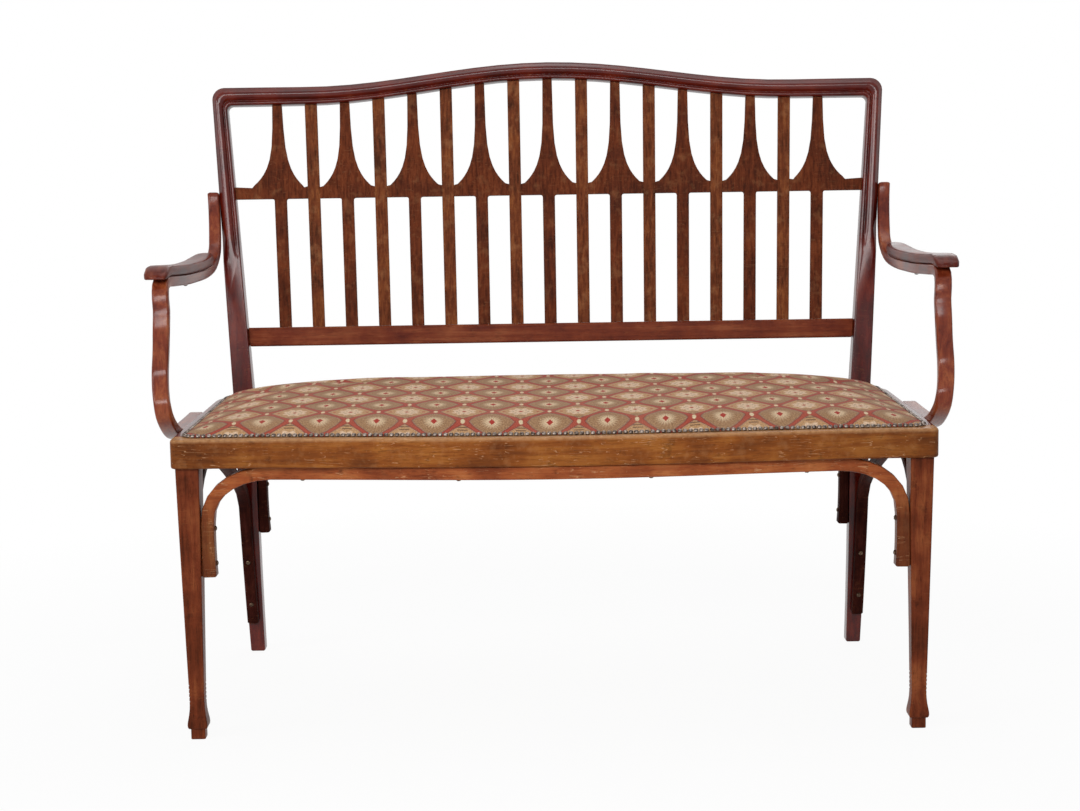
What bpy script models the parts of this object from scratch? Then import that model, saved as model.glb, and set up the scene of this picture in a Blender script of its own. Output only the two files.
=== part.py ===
# Bentwood settee: a two-seat bench with a fretted slat back, a padded seat and bent arms.
# Metres, +Z up. X runs along the seat, the front faces -Y.
# While the pieces are built, y = 0 is the front rail's face at its ends and z = 0 is the floor.
# The last step moves everything so that the box round the settee is centred on the origin.

import math

import bmesh
import bpy
from mathutils import Vector

# Clearance between two pieces that touch.
FIT_GAP = 0.0003
# How far a cutter runs past what it cuts.
CUT_OVERRUN = 0.006
# Distance below which two points are one.
WELD_DISTANCE = 0.00002

# Seat rails.
SEAT_WIDTH = 1.120
SEAT_DEPTH = 0.508
SEAT_TOP = 0.455
RAIL_HEIGHT = 0.0433
RAIL_THICK = 0.032
FRONT_RAIL_THICK = 0.040
FRONT_BOW = 0.028
FRONT_CORNER_RADIUS = 0.010
REAR_CORNER_RADIUS = 0.060
RAIL_EASE = 0.0035

# Blocks glued into the two front corners of the seat frame.
BLOCK_LEG = 0.055
BLOCK_TIP = 0.008
BLOCK_HEIGHT = 0.030

# Webbing strapped over the rails.
WEB_THICK = 0.0015
WEB_BEARING = 0.0055
WEB_FRONT_RADIUS = 0.030
WEB_REAR_RADIUS = 0.052
WEB_STRAP = 0.048
WEB_GAPS_ACROSS = 9
WEB_GAPS_DEEP = 3

# Upholstery. The cover is nailed to the rails' top along a flat edge, and swells from there.
COVER_THICK = 0.0018
PAD_SIDE_MARGIN = 0.011
PAD_FRONT_MARGIN = 0.019
PAD_REAR_MARGIN = 0.0115
PAD_CROWN = 0.0354
PAD_FRONT_RADIUS = 0.020
PAD_REAR_RADIUS = 0.045
PAD_ROUNDING_SHARE = 0.45
PAD_ROUNDING_LIMIT = 0.80
# Where the rings of the pad lie, as shares of half its depth.
PAD_RING_SHARES = (0.013, 0.036, 0.07, 0.12, 0.19, 0.30, 0.46, 0.66, 0.86)
# How the pad rises from its front and rear edges: (share of its depth, share of the crown).
PAD_FRONT_RISE_SHARES = (
    (0.0, 0.0), (0.0126, 0.13), (0.038, 0.33), (0.084, 0.42), (0.147, 0.49), (0.255, 0.60),
    (0.364, 0.68), (0.473, 0.74), (0.582, 0.80), (0.69, 0.875), (0.80, 0.94), (0.91, 1.0))
PAD_REAR_RISE_SHARES = ((0.0, 0.0), (0.0126, 0.32), (0.029, 0.58), (0.052, 0.83), (0.08, 0.97), (0.115, 1.0))
# How it rises from its sides: (share of half its width, share of the crown).
PAD_SIDE_RISE_SHARES = (
    (0.0, 0.0), (0.009, 0.16), (0.0246, 0.30), (0.0546, 0.44), (0.089, 0.56), (0.129, 0.67),
    (0.208, 0.80), (0.308, 0.90), (0.51, 0.97), (0.73, 1.0))
PAD_STEPS = 12
PAD_CORNER_STEPS = 4
PAD_SIDE_POINTS = 2
STUFFING_SLACK = 0.0007
STUFFING_SETBACK = 0.0125

# Back frame: the rear legs, the posts above them and the crest, bent from one length.
BACK_HOUSING = 0.008
BACK_BREAK_Z = 0.430
BACK_LEAN = math.radians(8.0)
POST_INSET = 0.0225
POST_SPLAY_SHARE = 0.0594
POST_WIDTH = 0.0345
POST_TAPER_SHARE = 0.0183
POST_DEPTH = 0.032
CREST_DEPTH = 0.028
REAR_FOOT_WIDTH = 0.0245
REAR_FOOT_DEPTH = 0.027
REAR_LEG_RAKE = 0.055
REAR_LEG_TOE_IN = 0.0065
REAR_LEG_CURVE = 1.5
REAR_FOOT_EASE = 0.0015
CREST_END_Z = 0.9577
CREST_RISE = 0.036
CREST_HALF_RUN = 0.410
CREST_HEIGHT = 0.0283
CREST_END_HEIGHT = 0.0306
CREST_CORNER_RUN = 0.06885
CREST_OUTER_RADIUS = 0.020
CREST_INNER_RADIUS = 0.008
CREST_STATIONS = 12
CORNER_STATIONS = 6
MOULDING_FOOT_Z = 0.680
MOULDING_RUN_IN = 0.040
REAR_LEG_SHARES = (0.0, 0.18, 0.36, 0.54, 0.72, 0.90)
POST_SHARES = (0.06, 0.15, 0.34, 0.48, 0.62, 0.80, 0.95)
# Section of the frame: (share of its width from the outer edge, share of its depth from the back).
MOULDED_SECTION_SHARES = (
    (0.0, 0.06), (0.06, 0.0), (0.94, 0.0), (1.0, 0.06),
    (1.0, 0.78), (0.94, 0.87), (0.87, 0.91), (0.80, 0.87), (0.76, 0.79), (0.71, 0.79),
    (0.67, 0.89), (0.56, 0.97), (0.42, 1.0), (0.31, 0.985), (0.23, 0.92), (0.11, 0.71), (0.0, 0.62))
PLAIN_SECTION_SHARES = (
    (0.0, 0.06), (0.06, 0.0), (0.94, 0.0), (1.0, 0.06),
    (1.0, 0.93), (0.98, 0.98), (0.93, 1.0), (0.82, 1.0), (0.76, 1.0), (0.71, 1.0),
    (0.67, 1.0), (0.56, 1.0), (0.42, 1.0), (0.28, 1.0), (0.07, 1.0), (0.02, 0.98), (0.0, 0.93))

# Lower back rail.
LOWER_RAIL_TOP_Z = 0.5692
LOWER_RAIL_HEIGHT = 0.0312
LOWER_RAIL_THICK = 0.017
LOWER_RAIL_SETBACK = 0.008
LOWER_RAIL_EASE = 0.002

# Slats: plain ones alternate with fretted ones, fanned a little towards the crest.
PLAIN_SLATS = 8
SLAT_END_SPACE = 0.06438
SLAT_FAN_SHARE = 0.00325
SLAT_WIDTH = 0.0205
SLAT_THICK = 0.006
SLAT_SETBACK = 0.010
FRET_NECK_WIDTH = 0.016
FRET_BAND_Z = 0.785
FRET_BAND_HEIGHT = 0.0205
FRET_GAP_WIDTH = 0.0057
FRET_FLARE_FALL = 0.029
FRET_CORNER_RADIUS = 0.0035
FRET_END_SHOULDER = 0.047
FRET_FLARE_SHARES = (0.0, 0.10, 0.25, 0.45, 0.70, 1.05, 1.55, 2.3, 3.4)

# Front legs.
LEG_INSET = 0.0224
LEG_TOP_WIDTH = 0.0345
LEG_TOP_DEPTH = 0.042
LEG_FRONT_Y = 0.012
LEG_SLOPE_IN = 0.014
LEG_EASE = 0.0022
FOOT_WIDTH = 0.030
FOOT_HEIGHT = 0.052
# (share of the leg's height, share of its top width, share of the way from the top depth to square)
LEG_TAPER_SHARES = (
    (0.127, 0.652, 1.0), (0.219, 0.681, 1.0), (0.340, 0.739, 1.0), (0.480, 0.797, 0.75),
    (0.608, 0.852, 0.5), (0.800, 0.928, 0.25), (1.0, 1.0, 0.0))
# (share of the foot's height, share of its width)
FOOT_SHARES = (
    (0.0, 0.70), (0.02, 0.717), (0.30, 0.717), (0.315, 0.88), (0.35, 0.97), (0.42, 1.0), (0.50, 0.975),
    (0.60, 0.91), (0.73, 0.83), (0.87, 0.775), (1.0, 0.75))
GROOVES = 5
GROOVE_FIRST_Z = 0.0575
GROOVE_PITCH = 0.0062
GROOVE_HALF_WIDTH = 0.0013
GROOVE_DEPTH = 0.0007

# Bent strips under the seat.
ARCH_WIDTH = 0.022
FRONT_ARCH_THICK = 0.0195
REAR_ARCH_THICK = 0.016
SIDE_ARCH_THICK = 0.015
SIDE_ARCH_WIDTH = 0.019
ARCH_EASE = 0.002
ARCH_FLARE = 0.0022
ARCH_FLARE_RUN = 0.060
ARCH_TIP_EASE = 0.002
ARCH_BEND_STATIONS = 7
FRONT_ARCH_FOOT_Z = 0.246
FRONT_ARCH_BEND_Z = 0.325
FRONT_ARCH_BEND_RUN = 0.095
FRONT_ARCH_FULLNESS = 0.85
FRONT_ARCH_SETBACK = 0.0045
FRONT_ARCH_COVER = 0.007
REAR_ARCH_FOOT_Z = 0.215
REAR_ARCH_BEND_Z = 0.330
REAR_ARCH_BEND_RUN = 0.100
REAR_ARCH_FULLNESS = 1.0
REAR_ARCH_SETBACK = 0.0035
SIDE_ARCH_REAR_FOOT_Z = 0.055
SIDE_ARCH_REAR_BEND_Z = 0.235
SIDE_ARCH_REAR_BEND_RUN = 0.323
# The long rear bend: (share of its run forward from the leg, share of its rise to the rail).
SIDE_ARCH_BEND_SHARES = (
    (0.0, 0.0), (0.020, 0.195), (0.086, 0.355), (0.185, 0.470), (0.300, 0.567), (0.449, 0.686),
    (0.630, 0.822), (0.810, 0.935), (1.0, 1.0))
SIDE_ARCH_FRONT_FOOT_Z = 0.235
SIDE_ARCH_FRONT_BEND_Z = 0.310
SIDE_ARCH_FRONT_BEND_RUN = 0.110
SIDE_ARCH_INSET = 0.0005

# Arms: one bent strip each, with a board on top.
ARM_THICK = 0.0165
ARM_WIDTH = 0.024
ARM_REAR_WIDTH = 0.0195
ARM_EASE = 0.0035
ARM_BOW = 0.010
ARM_RISE = 0.224
ARM_STEPS = 2
ARM_TIP_FLARE = 0.003
# From the rear end of the run along the seat rail to the top of the post's side:
# (share of the seat's depth, share of the rise above the seat's top, share of the outward bow)
ARM_PATH_SHARES = (
    (0.640, -0.047, 0.0), (0.560, -0.050, 0.0), (0.450, -0.051, 0.0), (0.360, -0.051, 0.0),
    (0.301, -0.050, 0.0), (0.261, -0.041, 0.0), (0.216, -0.015, 0.0), (0.168, 0.027, 0.0),
    (0.122, 0.079, 0.0), (0.088, 0.138, 0.05), (0.081, 0.200, 0.20), (0.090, 0.262, 0.42),
    (0.105, 0.335, 0.60), (0.118, 0.420, 0.66), (0.118, 0.500, 0.52), (0.107, 0.590, 0.28),
    (0.099, 0.665, 0.13), (0.104, 0.745, 0.08),
    (0.113, 0.820, 0.08), (0.116, 0.900, 0.18), (0.131, 0.976, 0.24), (0.171, 1.002, 0.22),
    (0.227, 0.996, 0.15), (0.320, 0.985, 0.04), (0.414, 0.974, -0.12), (0.500, 0.967, -0.22),
    (0.581, 0.964, -0.32), (0.700, 0.960, -0.44), (0.800, 0.965, -0.52), (0.900, 0.982, -0.57),
    (0.975, 1.022, -0.58))
# On the post: (share of the rise above the seat's top, share of the strip's thickness that its
# middle lies behind the post's front face)
ARM_POST_SHARES = (
    (1.095, -0.85), (1.165, -0.20), (1.245, 0.30), (1.330, 0.68), (1.420, 0.95), (1.515, 1.10))

# Armrest boards.
BOARD_THICK = 0.0155
BOARD_NOSE_DROP = 0.008
BOARD_NOSE_RUN = 0.033
BOARD_HALF_WIDTH = 0.018
BOARD_START_SHARE = 0.0984
BOARD_END_SHARE = 0.9252
BOARD_INNER_LAP = 0.002
BOARD_TAIL_RUN = 0.045
# (share of the board's length, share of the inner half width, share of the outer half width, share of height)
BOARD_SHARES = (
    (0.0, 0.70, 0.72, 0.45), (0.008, 0.86, 0.90, 0.78), (0.024, 0.94, 1.0, 0.93), (0.055, 0.98, 1.06, 1.0),
    (0.10, 1.0, 1.12, 1.0), (0.16, 1.0, 1.16, 1.0), (0.22, 1.0, 1.14, 1.0), (0.30, 1.0, 1.04, 1.0),
    (0.38, 0.99, 0.92, 1.0), (0.46, 0.97, 0.84, 1.0), (0.54, 0.96, 0.84, 1.0), (0.62, 0.97, 0.94, 1.0),
    (0.70, 1.0, 1.08, 1.0), (0.77, 1.0, 1.18, 1.0), (0.84, 1.0, 1.22, 1.0), (0.90, 0.98, 1.16, 1.0),
    (0.945, 0.88, 1.02, 1.0), (0.975, 0.70, 0.80, 0.95), (0.992, 0.46, 0.52, 0.82), (1.0, 0.30, 0.34, 0.55))
# Section of the board: (share of half width, share of thickness)
BOARD_SECTION_SHARES = (
    (-0.84, 0.0), (-0.96, 0.10), (-1.0, 0.32), (-1.0, 0.62), (-0.93, 0.86), (-0.78, 0.97),
    (-0.35, 1.0), (0.35, 1.0), (0.78, 0.97), (0.93, 0.86), (1.0, 0.62), (1.0, 0.32), (0.96, 0.10), (0.84, 0.0))

# Round-headed screws.
SCREW_RADIUS = 0.004
SCREW_HEAD = 0.0028
SCREW_STEPS = 10
SCREW_RING_SHARES = ((0.0, 1.0), (0.5, 0.87), (0.87, 0.5), (1.0, 0.0), (0.0, 0.0))
FRONT_ARCH_SCREWS_Z = (0.266, 0.3185)
REAR_ARCH_SCREWS_Z = (0.238, 0.300)
SIDE_ARCH_REAR_SCREWS_Z = (0.090, 0.166)
SIDE_ARCH_FRONT_SCREWS_Z = (0.250, 0.292)
RUN_SCREW_SHARES = (0.25, 0.66)
ARM_SCREW_SHARE = 0.50

SMOOTH_ANGLE = math.radians(32.0)
QUARTER_TURN = math.radians(90.0)

HALF_SEAT = SEAT_WIDTH / 2
RAIL_BOTTOM = SEAT_TOP - RAIL_HEIGHT
RAIL_INNER_X = HALF_SEAT - RAIL_THICK
PAD_HALF_WIDTH = HALF_SEAT - PAD_SIDE_MARGIN
PAD_DEPTH = SEAT_DEPTH - PAD_FRONT_MARGIN - PAD_REAR_MARGIN
BACK_FRONT_Y = SEAT_DEPTH - BACK_HOUSING
BOARD_START_Y = SEAT_DEPTH * BOARD_START_SHARE
BOARD_END_Y = SEAT_DEPTH * BOARD_END_SHARE
CREST_END_X = HALF_SEAT - POST_INSET + (CREST_END_Z - BACK_BREAK_Z) * POST_SPLAY_SHARE
CREST_STRAIGHT_X = CREST_END_X - CREST_CORNER_RUN
X_AXIS = Vector((1.0, 0.0, 0.0))
Y_AXIS = Vector((0.0, 1.0, 0.0))


def clear_scene():
    for obj in list(bpy.data.objects):
        bpy.data.objects.remove(obj, do_unlink=True)
    for collection in list(bpy.data.collections):
        bpy.data.collections.remove(collection)


clear_scene()
parts = bpy.data.collections.new("Bentwood_Settee")
cutters = bpy.data.collections.new("Settee_Cutters")
bpy.context.scene.collection.children.link(parts)
bpy.context.scene.collection.children.link(cutters)
centre = bpy.data.objects.new("settee_centre", None)
parts.objects.link(centre)


def linear_value(value):
    return value / 12.92 if value <= 0.04045 else ((value + 0.055) / 1.055) ** 2.4


def make_material(name, hex_colour, roughness, metallic=0.0):
    material = bpy.data.materials.new(name)
    material.use_nodes = True
    shader = material.node_tree.nodes["Principled BSDF"]
    channels = [int(hex_colour[i:i + 2], 16) / 255 for i in (0, 2, 4)]
    colour = [linear_value(c) for c in channels] + [1.0]
    shader.inputs["Base Color"].default_value = colour
    shader.inputs["Roughness"].default_value = roughness
    shader.inputs["Metallic"].default_value = metallic
    material.diffuse_color = colour
    return material


FRAME_WOOD = make_material("frame_wood", "5E2E26", 0.32)
RAIL_WOOD = make_material("rail_wood", "8A5230", 0.38)
SLAT_WOOD = make_material("slat_wood", "6B3A2B", 0.36)
HIDDEN_WOOD = make_material("hidden_wood", "A98158", 0.65)
SEAT_FABRIC = make_material("seat_fabric", "A0735C", 0.92)
STUFFING_FIBRE = make_material("stuffing_fibre", "B7A27E", 0.95)
WEB_JUTE = make_material("web_jute", "A58C5E", 0.9)
SCREW_STEEL = make_material("screw_steel", "5A4A3C", 0.45, 0.85)


def add_part(name, mesh, material, smooth=True):
    mesh.materials.clear()
    mesh.materials.append(material)
    if smooth:
        mesh.shade_smooth()
        mesh.set_sharp_from_angle(angle=SMOOTH_ANGLE)
    obj = bpy.data.objects.new(name, mesh)
    parts.objects.link(obj)
    obj.parent = centre
    return obj


def loft(name, rings, material):
    # Skins a closed solid through rings that have the same number of points.
    bm = bmesh.new()
    rows = [[bm.verts.new(point) for point in ring] for ring in rings]
    for lower, upper in zip(rows, rows[1:]):
        count = len(lower)
        for i in range(count):
            j = (i + 1) % count
            bm.faces.new((lower[i], lower[j], upper[j], upper[i]))
    bm.faces.new(reversed(rows[0]))
    bm.faces.new(rows[-1])
    bmesh.ops.recalc_face_normals(bm, faces=bm.faces)
    mesh = bpy.data.meshes.new(name)
    bm.to_mesh(mesh)
    bm.free()
    return add_part(name, mesh, material)


def slab_mesh(name, outline, thickness, holes=()):
    # A flat outline with its thickness centred on its own plane.
    curve = bpy.data.curves.new(name + "_outline", "CURVE")
    curve.dimensions = "2D"
    curve.fill_mode = "BOTH"
    curve.extrude = thickness / 2
    for loop in (outline, *holes):
        spline = curve.splines.new("POLY")
        spline.points.add(len(loop) - 1)
        for point, (u, v) in zip(spline.points, loop):
            point.co = (u, v, 0.0, 1.0)
        spline.use_cyclic_u = True
    guide = bpy.data.objects.new(name + "_guide", curve)
    cutters.objects.link(guide)
    bpy.context.view_layer.update()
    depsgraph = bpy.context.evaluated_depsgraph_get()
    mesh = bpy.data.meshes.new_from_object(guide.evaluated_get(depsgraph))
    bpy.data.objects.remove(guide, do_unlink=True)
    bm = bmesh.new()
    bm.from_mesh(mesh)
    bmesh.ops.remove_doubles(bm, verts=bm.verts, dist=WELD_DISTANCE)
    bmesh.ops.dissolve_limit(bm, angle_limit=math.radians(0.05), verts=bm.verts, edges=bm.edges)
    bmesh.ops.recalc_face_normals(bm, faces=bm.faces)
    bm.to_mesh(mesh)
    bm.free()
    mesh.name = name
    return mesh


def slab(name, outline, thickness, material, holes=()):
    return add_part(name, slab_mesh(name, outline, thickness, holes), material)


def add_bevel(obj, width, segments):
    bevel = obj.modifiers.new("Eased edges", "BEVEL")
    bevel.width = width
    bevel.segments = segments
    bevel.limit_method = "ANGLE"
    bevel.angle_limit = SMOOTH_ANGLE
    bevel.harden_normals = False
    return bevel


def arc(cx, cy, radius, start, end, steps):
    # Points on a circle from one angle to another, both ends included.
    points = []
    for i in range(steps + 1):
        angle = start + (end - start) * i / steps
        points.append((cx + radius * math.cos(angle), cy + radius * math.sin(angle)))
    return points


def blend(a, b, share):
    return a + (b - a) * share


def table_value(rows, key, column):
    # Straight-line reading of a table whose first column rises.
    if key <= rows[0][0]:
        return rows[0][column]
    for low, high in zip(rows, rows[1:]):
        if key <= high[0]:
            return blend(low[column], high[column], (key - low[0]) / (high[0] - low[0]))
    return rows[-1][column]


def smooth_path(points, steps):
    # A smooth curve through all the points, with a few stations between each two.
    result = []
    last = len(points) - 1
    for i in range(last):
        before = points[max(i - 1, 0)]
        after = points[min(i + 2, last)]
        start = points[i]
        end = points[i + 1]
        for k in range(steps):
            t = k / steps
            a = -0.5 * t ** 3 + t ** 2 - 0.5 * t
            b = 1.5 * t ** 3 - 2.5 * t ** 2 + 1
            c = -1.5 * t ** 3 + 2 * t ** 2 + 0.5 * t
            d = 0.5 * t ** 3 - 0.5 * t ** 2
            result.append([a * p + b * q + c * r + d * s for p, q, r, s in zip(before, start, end, after)])
    result.append(list(points[last]))
    return result


def eased_section(width, thickness, ease, points_per_corner):
    # Rectangle with rounded corners, as (across, through) pairs round its middle.
    section = []
    for index, (sx, sy) in enumerate(((1, 1), (-1, 1), (-1, -1), (1, -1))):
        start = QUARTER_TURN * index
        corner_x = sx * (width / 2 - ease)
        corner_y = sy * (thickness / 2 - ease)
        section += arc(corner_x, corner_y, ease, start, start + QUARTER_TURN, points_per_corner - 1)
    return section


def strip_rings(stations, side, ease, points_per_corner):
    # Rings of a bent strip. A station is (middle, width, thickness); side is the width's direction.
    rings = []
    last = len(stations) - 1
    for i, (middle, width, thickness) in enumerate(stations):
        ahead = stations[min(i + 1, last)][0]
        behind = stations[max(i - 1, 0)][0]
        tangent = (ahead - behind)
        tangent -= side * tangent.dot(side)
        tangent.normalize()
        normal = tangent.cross(side)
        section = eased_section(width, thickness, ease, points_per_corner)
        rings.append([middle + side * u + normal * v for u, v in section])
    return rings


def with_soft_ends(stations, ease):
    # Adds a slightly smaller end station at both ends, so that the ends have eased edges.
    result = list(stations)
    for end, inward in ((0, 1), (-1, -2)):
        middle, width, thickness = stations[end]
        step = (stations[inward][0] - middle).normalized() * ease
        small = (middle.copy(), width - 2 * ease, thickness - 2 * ease)
        moved = (middle + step, width, thickness)
        if end == 0:
            result = [small, moved] + result[1:]
        else:
            result = result[:-1] + [moved, small]
    return result


# Seat frame.

def bell(x, half_run):
    # One at the middle, none at the half run and beyond.
    if abs(x) >= half_run:
        return 0.0
    return 0.5 * (1 + math.cos(math.pi * x / half_run))


def front_face_y(x):
    return -FRONT_BOW * bell(x, RAIL_INNER_X)


def build_front_rail():
    straight = HALF_SEAT - FRONT_CORNER_RADIUS
    steps = 20
    xs = [blend(-straight, straight, i / steps) for i in range(steps + 1)]
    front = [(x, front_face_y(x)) for x in xs]
    right = arc(straight, FRONT_CORNER_RADIUS, FRONT_CORNER_RADIUS, -QUARTER_TURN, 0.0, 5)[1:]
    left = [(-x, y) for x, y in reversed(right)]
    back = [(x, front_face_y(x) + FRONT_RAIL_THICK) for x in reversed(xs)]
    outline = front + right + [(HALF_SEAT, FRONT_RAIL_THICK)] + back + [(-HALF_SEAT, FRONT_RAIL_THICK)] + left
    rail = slab("seat_front_rail", outline, RAIL_HEIGHT, RAIL_WOOD)
    rail.location.z = SEAT_TOP - RAIL_HEIGHT / 2
    add_bevel(rail, RAIL_EASE, 2)


def bent_outline(outset, start_y):
    # The outer edge of the U-shaped rail, from its right front end round to its left one.
    radius = REAR_CORNER_RADIUS + outset
    cx = HALF_SEAT - REAR_CORNER_RADIUS
    cy = SEAT_DEPTH - REAR_CORNER_RADIUS
    right = arc(cx, cy, radius, 0.0, QUARTER_TURN, 8)
    left = [(-x, y) for x, y in reversed(right)]
    return [(HALF_SEAT + outset, start_y)] + right + left + [(-HALF_SEAT - outset, start_y)]


def build_bent_rail():
    start_y = FRONT_RAIL_THICK + FIT_GAP
    outline = bent_outline(0.0, start_y) + list(reversed(bent_outline(-RAIL_THICK, start_y)))
    rail = slab("seat_bent_rail", outline, RAIL_HEIGHT, FRAME_WOOD)
    rail.location.z = SEAT_TOP - RAIL_HEIGHT / 2
    add_bevel(rail, RAIL_EASE, 2)


def build_corner_blocks():
    for side, label in ((-1, "left"), (1, "right")):
        x = RAIL_INNER_X - FIT_GAP
        y = FRONT_RAIL_THICK + FIT_GAP
        outline = [
            (x, y), (x, y + BLOCK_LEG), (x - BLOCK_TIP, y + BLOCK_LEG),
            (x - BLOCK_LEG, y + BLOCK_TIP), (x - BLOCK_LEG, y)]
        outline = [(side * u, v) for u, v in outline]
        block = slab("corner_block_" + label, outline, BLOCK_HEIGHT, HIDDEN_WOOD)
        block.location.z = RAIL_BOTTOM + BLOCK_HEIGHT / 2


def build_webbing():
    half_x = RAIL_INNER_X + WEB_BEARING
    low_y = FRONT_RAIL_THICK - WEB_BEARING
    high_y = SEAT_DEPTH - RAIL_THICK + WEB_BEARING
    straight = half_x - WEB_FRONT_RADIUS
    steps = 12
    xs = [blend(-straight, straight, i / steps) for i in range(steps + 1)]
    front = [(x, low_y + front_face_y(x)) for x in xs]
    right = arc(straight, low_y + WEB_FRONT_RADIUS, WEB_FRONT_RADIUS, -QUARTER_TURN, 0.0, 4)[1:]
    right += arc(half_x - WEB_REAR_RADIUS, high_y - WEB_REAR_RADIUS, WEB_REAR_RADIUS, 0.0, QUARTER_TURN, 4)
    outline = front + right + [(-x, y) for x, y in reversed(right)]
    gap_x = (2 * half_x - (WEB_GAPS_ACROSS + 1) * WEB_STRAP) / WEB_GAPS_ACROSS
    gap_y = (high_y - low_y - (WEB_GAPS_DEEP + 1) * WEB_STRAP) / WEB_GAPS_DEEP
    holes = []
    for i in range(WEB_GAPS_ACROSS):
        x0 = -half_x + WEB_STRAP + i * (gap_x + WEB_STRAP)
        for j in range(WEB_GAPS_DEEP):
            y0 = low_y + WEB_STRAP + j * (gap_y + WEB_STRAP)
            holes.append([(x0, y0), (x0, y0 + gap_y), (x0 + gap_x, y0 + gap_y), (x0 + gap_x, y0)])
    web = slab("seat_webbing", outline, WEB_THICK, WEB_JUTE, holes)
    web.location.z = SEAT_TOP + FIT_GAP + WEB_THICK / 2


# Upholstery.

def pad_rise(x, y, inset):
    # Height of the pad over the rail; y is read before the front edge is bowed.
    front = table_value(PAD_FRONT_RISE_SHARES, (y - PAD_FRONT_MARGIN) / PAD_DEPTH, 1)
    rear = table_value(PAD_REAR_RISE_SHARES, (SEAT_DEPTH - PAD_REAR_MARGIN - y) / PAD_DEPTH, 1)
    side = table_value(PAD_SIDE_RISE_SHARES, 1 - abs(x) / PAD_HALF_WIDTH, 1)
    edge = table_value(PAD_REAR_RISE_SHARES, inset / PAD_DEPTH, 1)
    return PAD_CROWN * min(front * rear * side, edge)


def bow_pad(x, y):
    # The bow of the front edge fades out towards the back edge.
    high_y = SEAT_DEPTH - PAD_REAR_MARGIN
    return y + front_face_y(x) * (high_y - y) / PAD_DEPTH


def pad_ring(inset, base, crowned):
    # One closed line round the pad, at an inset from the cover's edge, from the front left corner.
    half_x = PAD_HALF_WIDTH - inset
    low_y = PAD_FRONT_MARGIN + inset
    high_y = SEAT_DEPTH - PAD_REAR_MARGIN - inset
    limit = PAD_ROUNDING_LIMIT * (high_y - low_y) / 2
    front_radius = min(PAD_FRONT_RADIUS + PAD_ROUNDING_SHARE * inset, limit)
    rear_radius = min(PAD_REAR_RADIUS + PAD_ROUNDING_SHARE * inset / 2, limit)
    front_x = half_x - front_radius
    rear_x = half_x - rear_radius
    side_low = low_y + front_radius
    side_high = high_y - rear_radius
    front = [(blend(-front_x, front_x, i / PAD_STEPS), low_y) for i in range(PAD_STEPS + 1)]
    rear = [(blend(rear_x, -rear_x, i / PAD_STEPS), high_y) for i in range(1, PAD_STEPS)]
    right = arc(front_x, side_low, front_radius, -QUARTER_TURN, 0.0, PAD_CORNER_STEPS)[1:]
    for i in range(1, PAD_SIDE_POINTS + 1):
        right.append((half_x, blend(side_low, side_high, i / (PAD_SIDE_POINTS + 1))))
    right += arc(rear_x, side_high, rear_radius, 0.0, QUARTER_TURN, PAD_CORNER_STEPS)
    left = [(-x, y) for x, y in reversed(right)]
    ring = []
    for x, y in front + right + rear + left:
        rise = pad_rise(x, y, inset) if crowned else 0.0
        ring.append(Vector((x, bow_pad(x, y), base + rise)))
    return ring


def pad_insets():
    return [PAD_DEPTH / 2 * share for share in PAD_RING_SHARES]


def skin_pad(bm, rings):
    # Bands of faces from ring to ring, from the outermost one inwards.
    rows = [[bm.verts.new(point) for point in ring] for ring in rings]
    for outer, inner in zip(rows, rows[1:]):
        count = len(outer)
        for i in range(count):
            j = (i + 1) % count
            bm.faces.new((outer[i], outer[j], inner[j], inner[i]))
    return rows


def close_pad(bm, row, base, crowned):
    # Closes a ring with a row of points along its middle: the front points come first in the ring.
    front = row[:PAD_STEPS + 1]
    rear_start = PAD_STEPS + 2 * PAD_CORNER_STEPS + PAD_SIDE_POINTS + 1
    rear = list(reversed(row[rear_start:rear_start + PAD_STEPS + 1]))
    spine = []
    for front_vert, rear_vert in zip(front, rear):
        x = (front_vert.co.x + rear_vert.co.x) / 2
        y = PAD_FRONT_MARGIN + PAD_DEPTH / 2
        rise = pad_rise(x, y, PAD_DEPTH / 2) if crowned else 0.0
        spine.append(bm.verts.new((x, bow_pad(x, y), base + rise)))
    for i in range(PAD_STEPS):
        bm.faces.new((front[i], front[i + 1], spine[i + 1], spine[i]))
        bm.faces.new((spine[i], spine[i + 1], rear[i + 1], rear[i]))
    right = row[PAD_STEPS:rear_start + 1]
    left = row[rear_start + PAD_STEPS:] + row[:1]
    for side, end in ((right, spine[-1]), (left, spine[0])):
        for a, b in zip(side, side[1:]):
            bm.faces.new((a, b, end))


def build_cover():
    base = SEAT_TOP + FIT_GAP
    rings = [pad_ring(0.0, base, False)] + [pad_ring(d, base, True) for d in pad_insets()]
    bm = bmesh.new()
    rows = skin_pad(bm, rings)
    close_pad(bm, rows[-1], base, True)
    mesh = bpy.data.meshes.new("seat_cover")
    bm.to_mesh(mesh)
    bm.free()
    cover = add_part("seat_cover", mesh, SEAT_FABRIC)
    skin = cover.modifiers.new("Cloth", "SOLIDIFY")
    skin.thickness = COVER_THICK
    skin.offset = 1.0


def build_stuffing():
    low = SEAT_TOP + 2 * FIT_GAP + WEB_THICK
    base = SEAT_TOP - STUFFING_SLACK
    rings = [pad_ring(STUFFING_SETBACK, low, False)]
    rings += [pad_ring(d, base, True) for d in pad_insets() if d > STUFFING_SETBACK]
    bm = bmesh.new()
    rows = skin_pad(bm, rings)
    close_pad(bm, rows[-1], base, True)
    close_pad(bm, rows[0], low, False)
    bmesh.ops.recalc_face_normals(bm, faces=bm.faces)
    mesh = bpy.data.meshes.new("seat_stuffing")
    bm.to_mesh(mesh)
    bm.free()
    add_part("seat_stuffing", mesh, STUFFING_FIBRE)


# Back frame.

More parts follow.
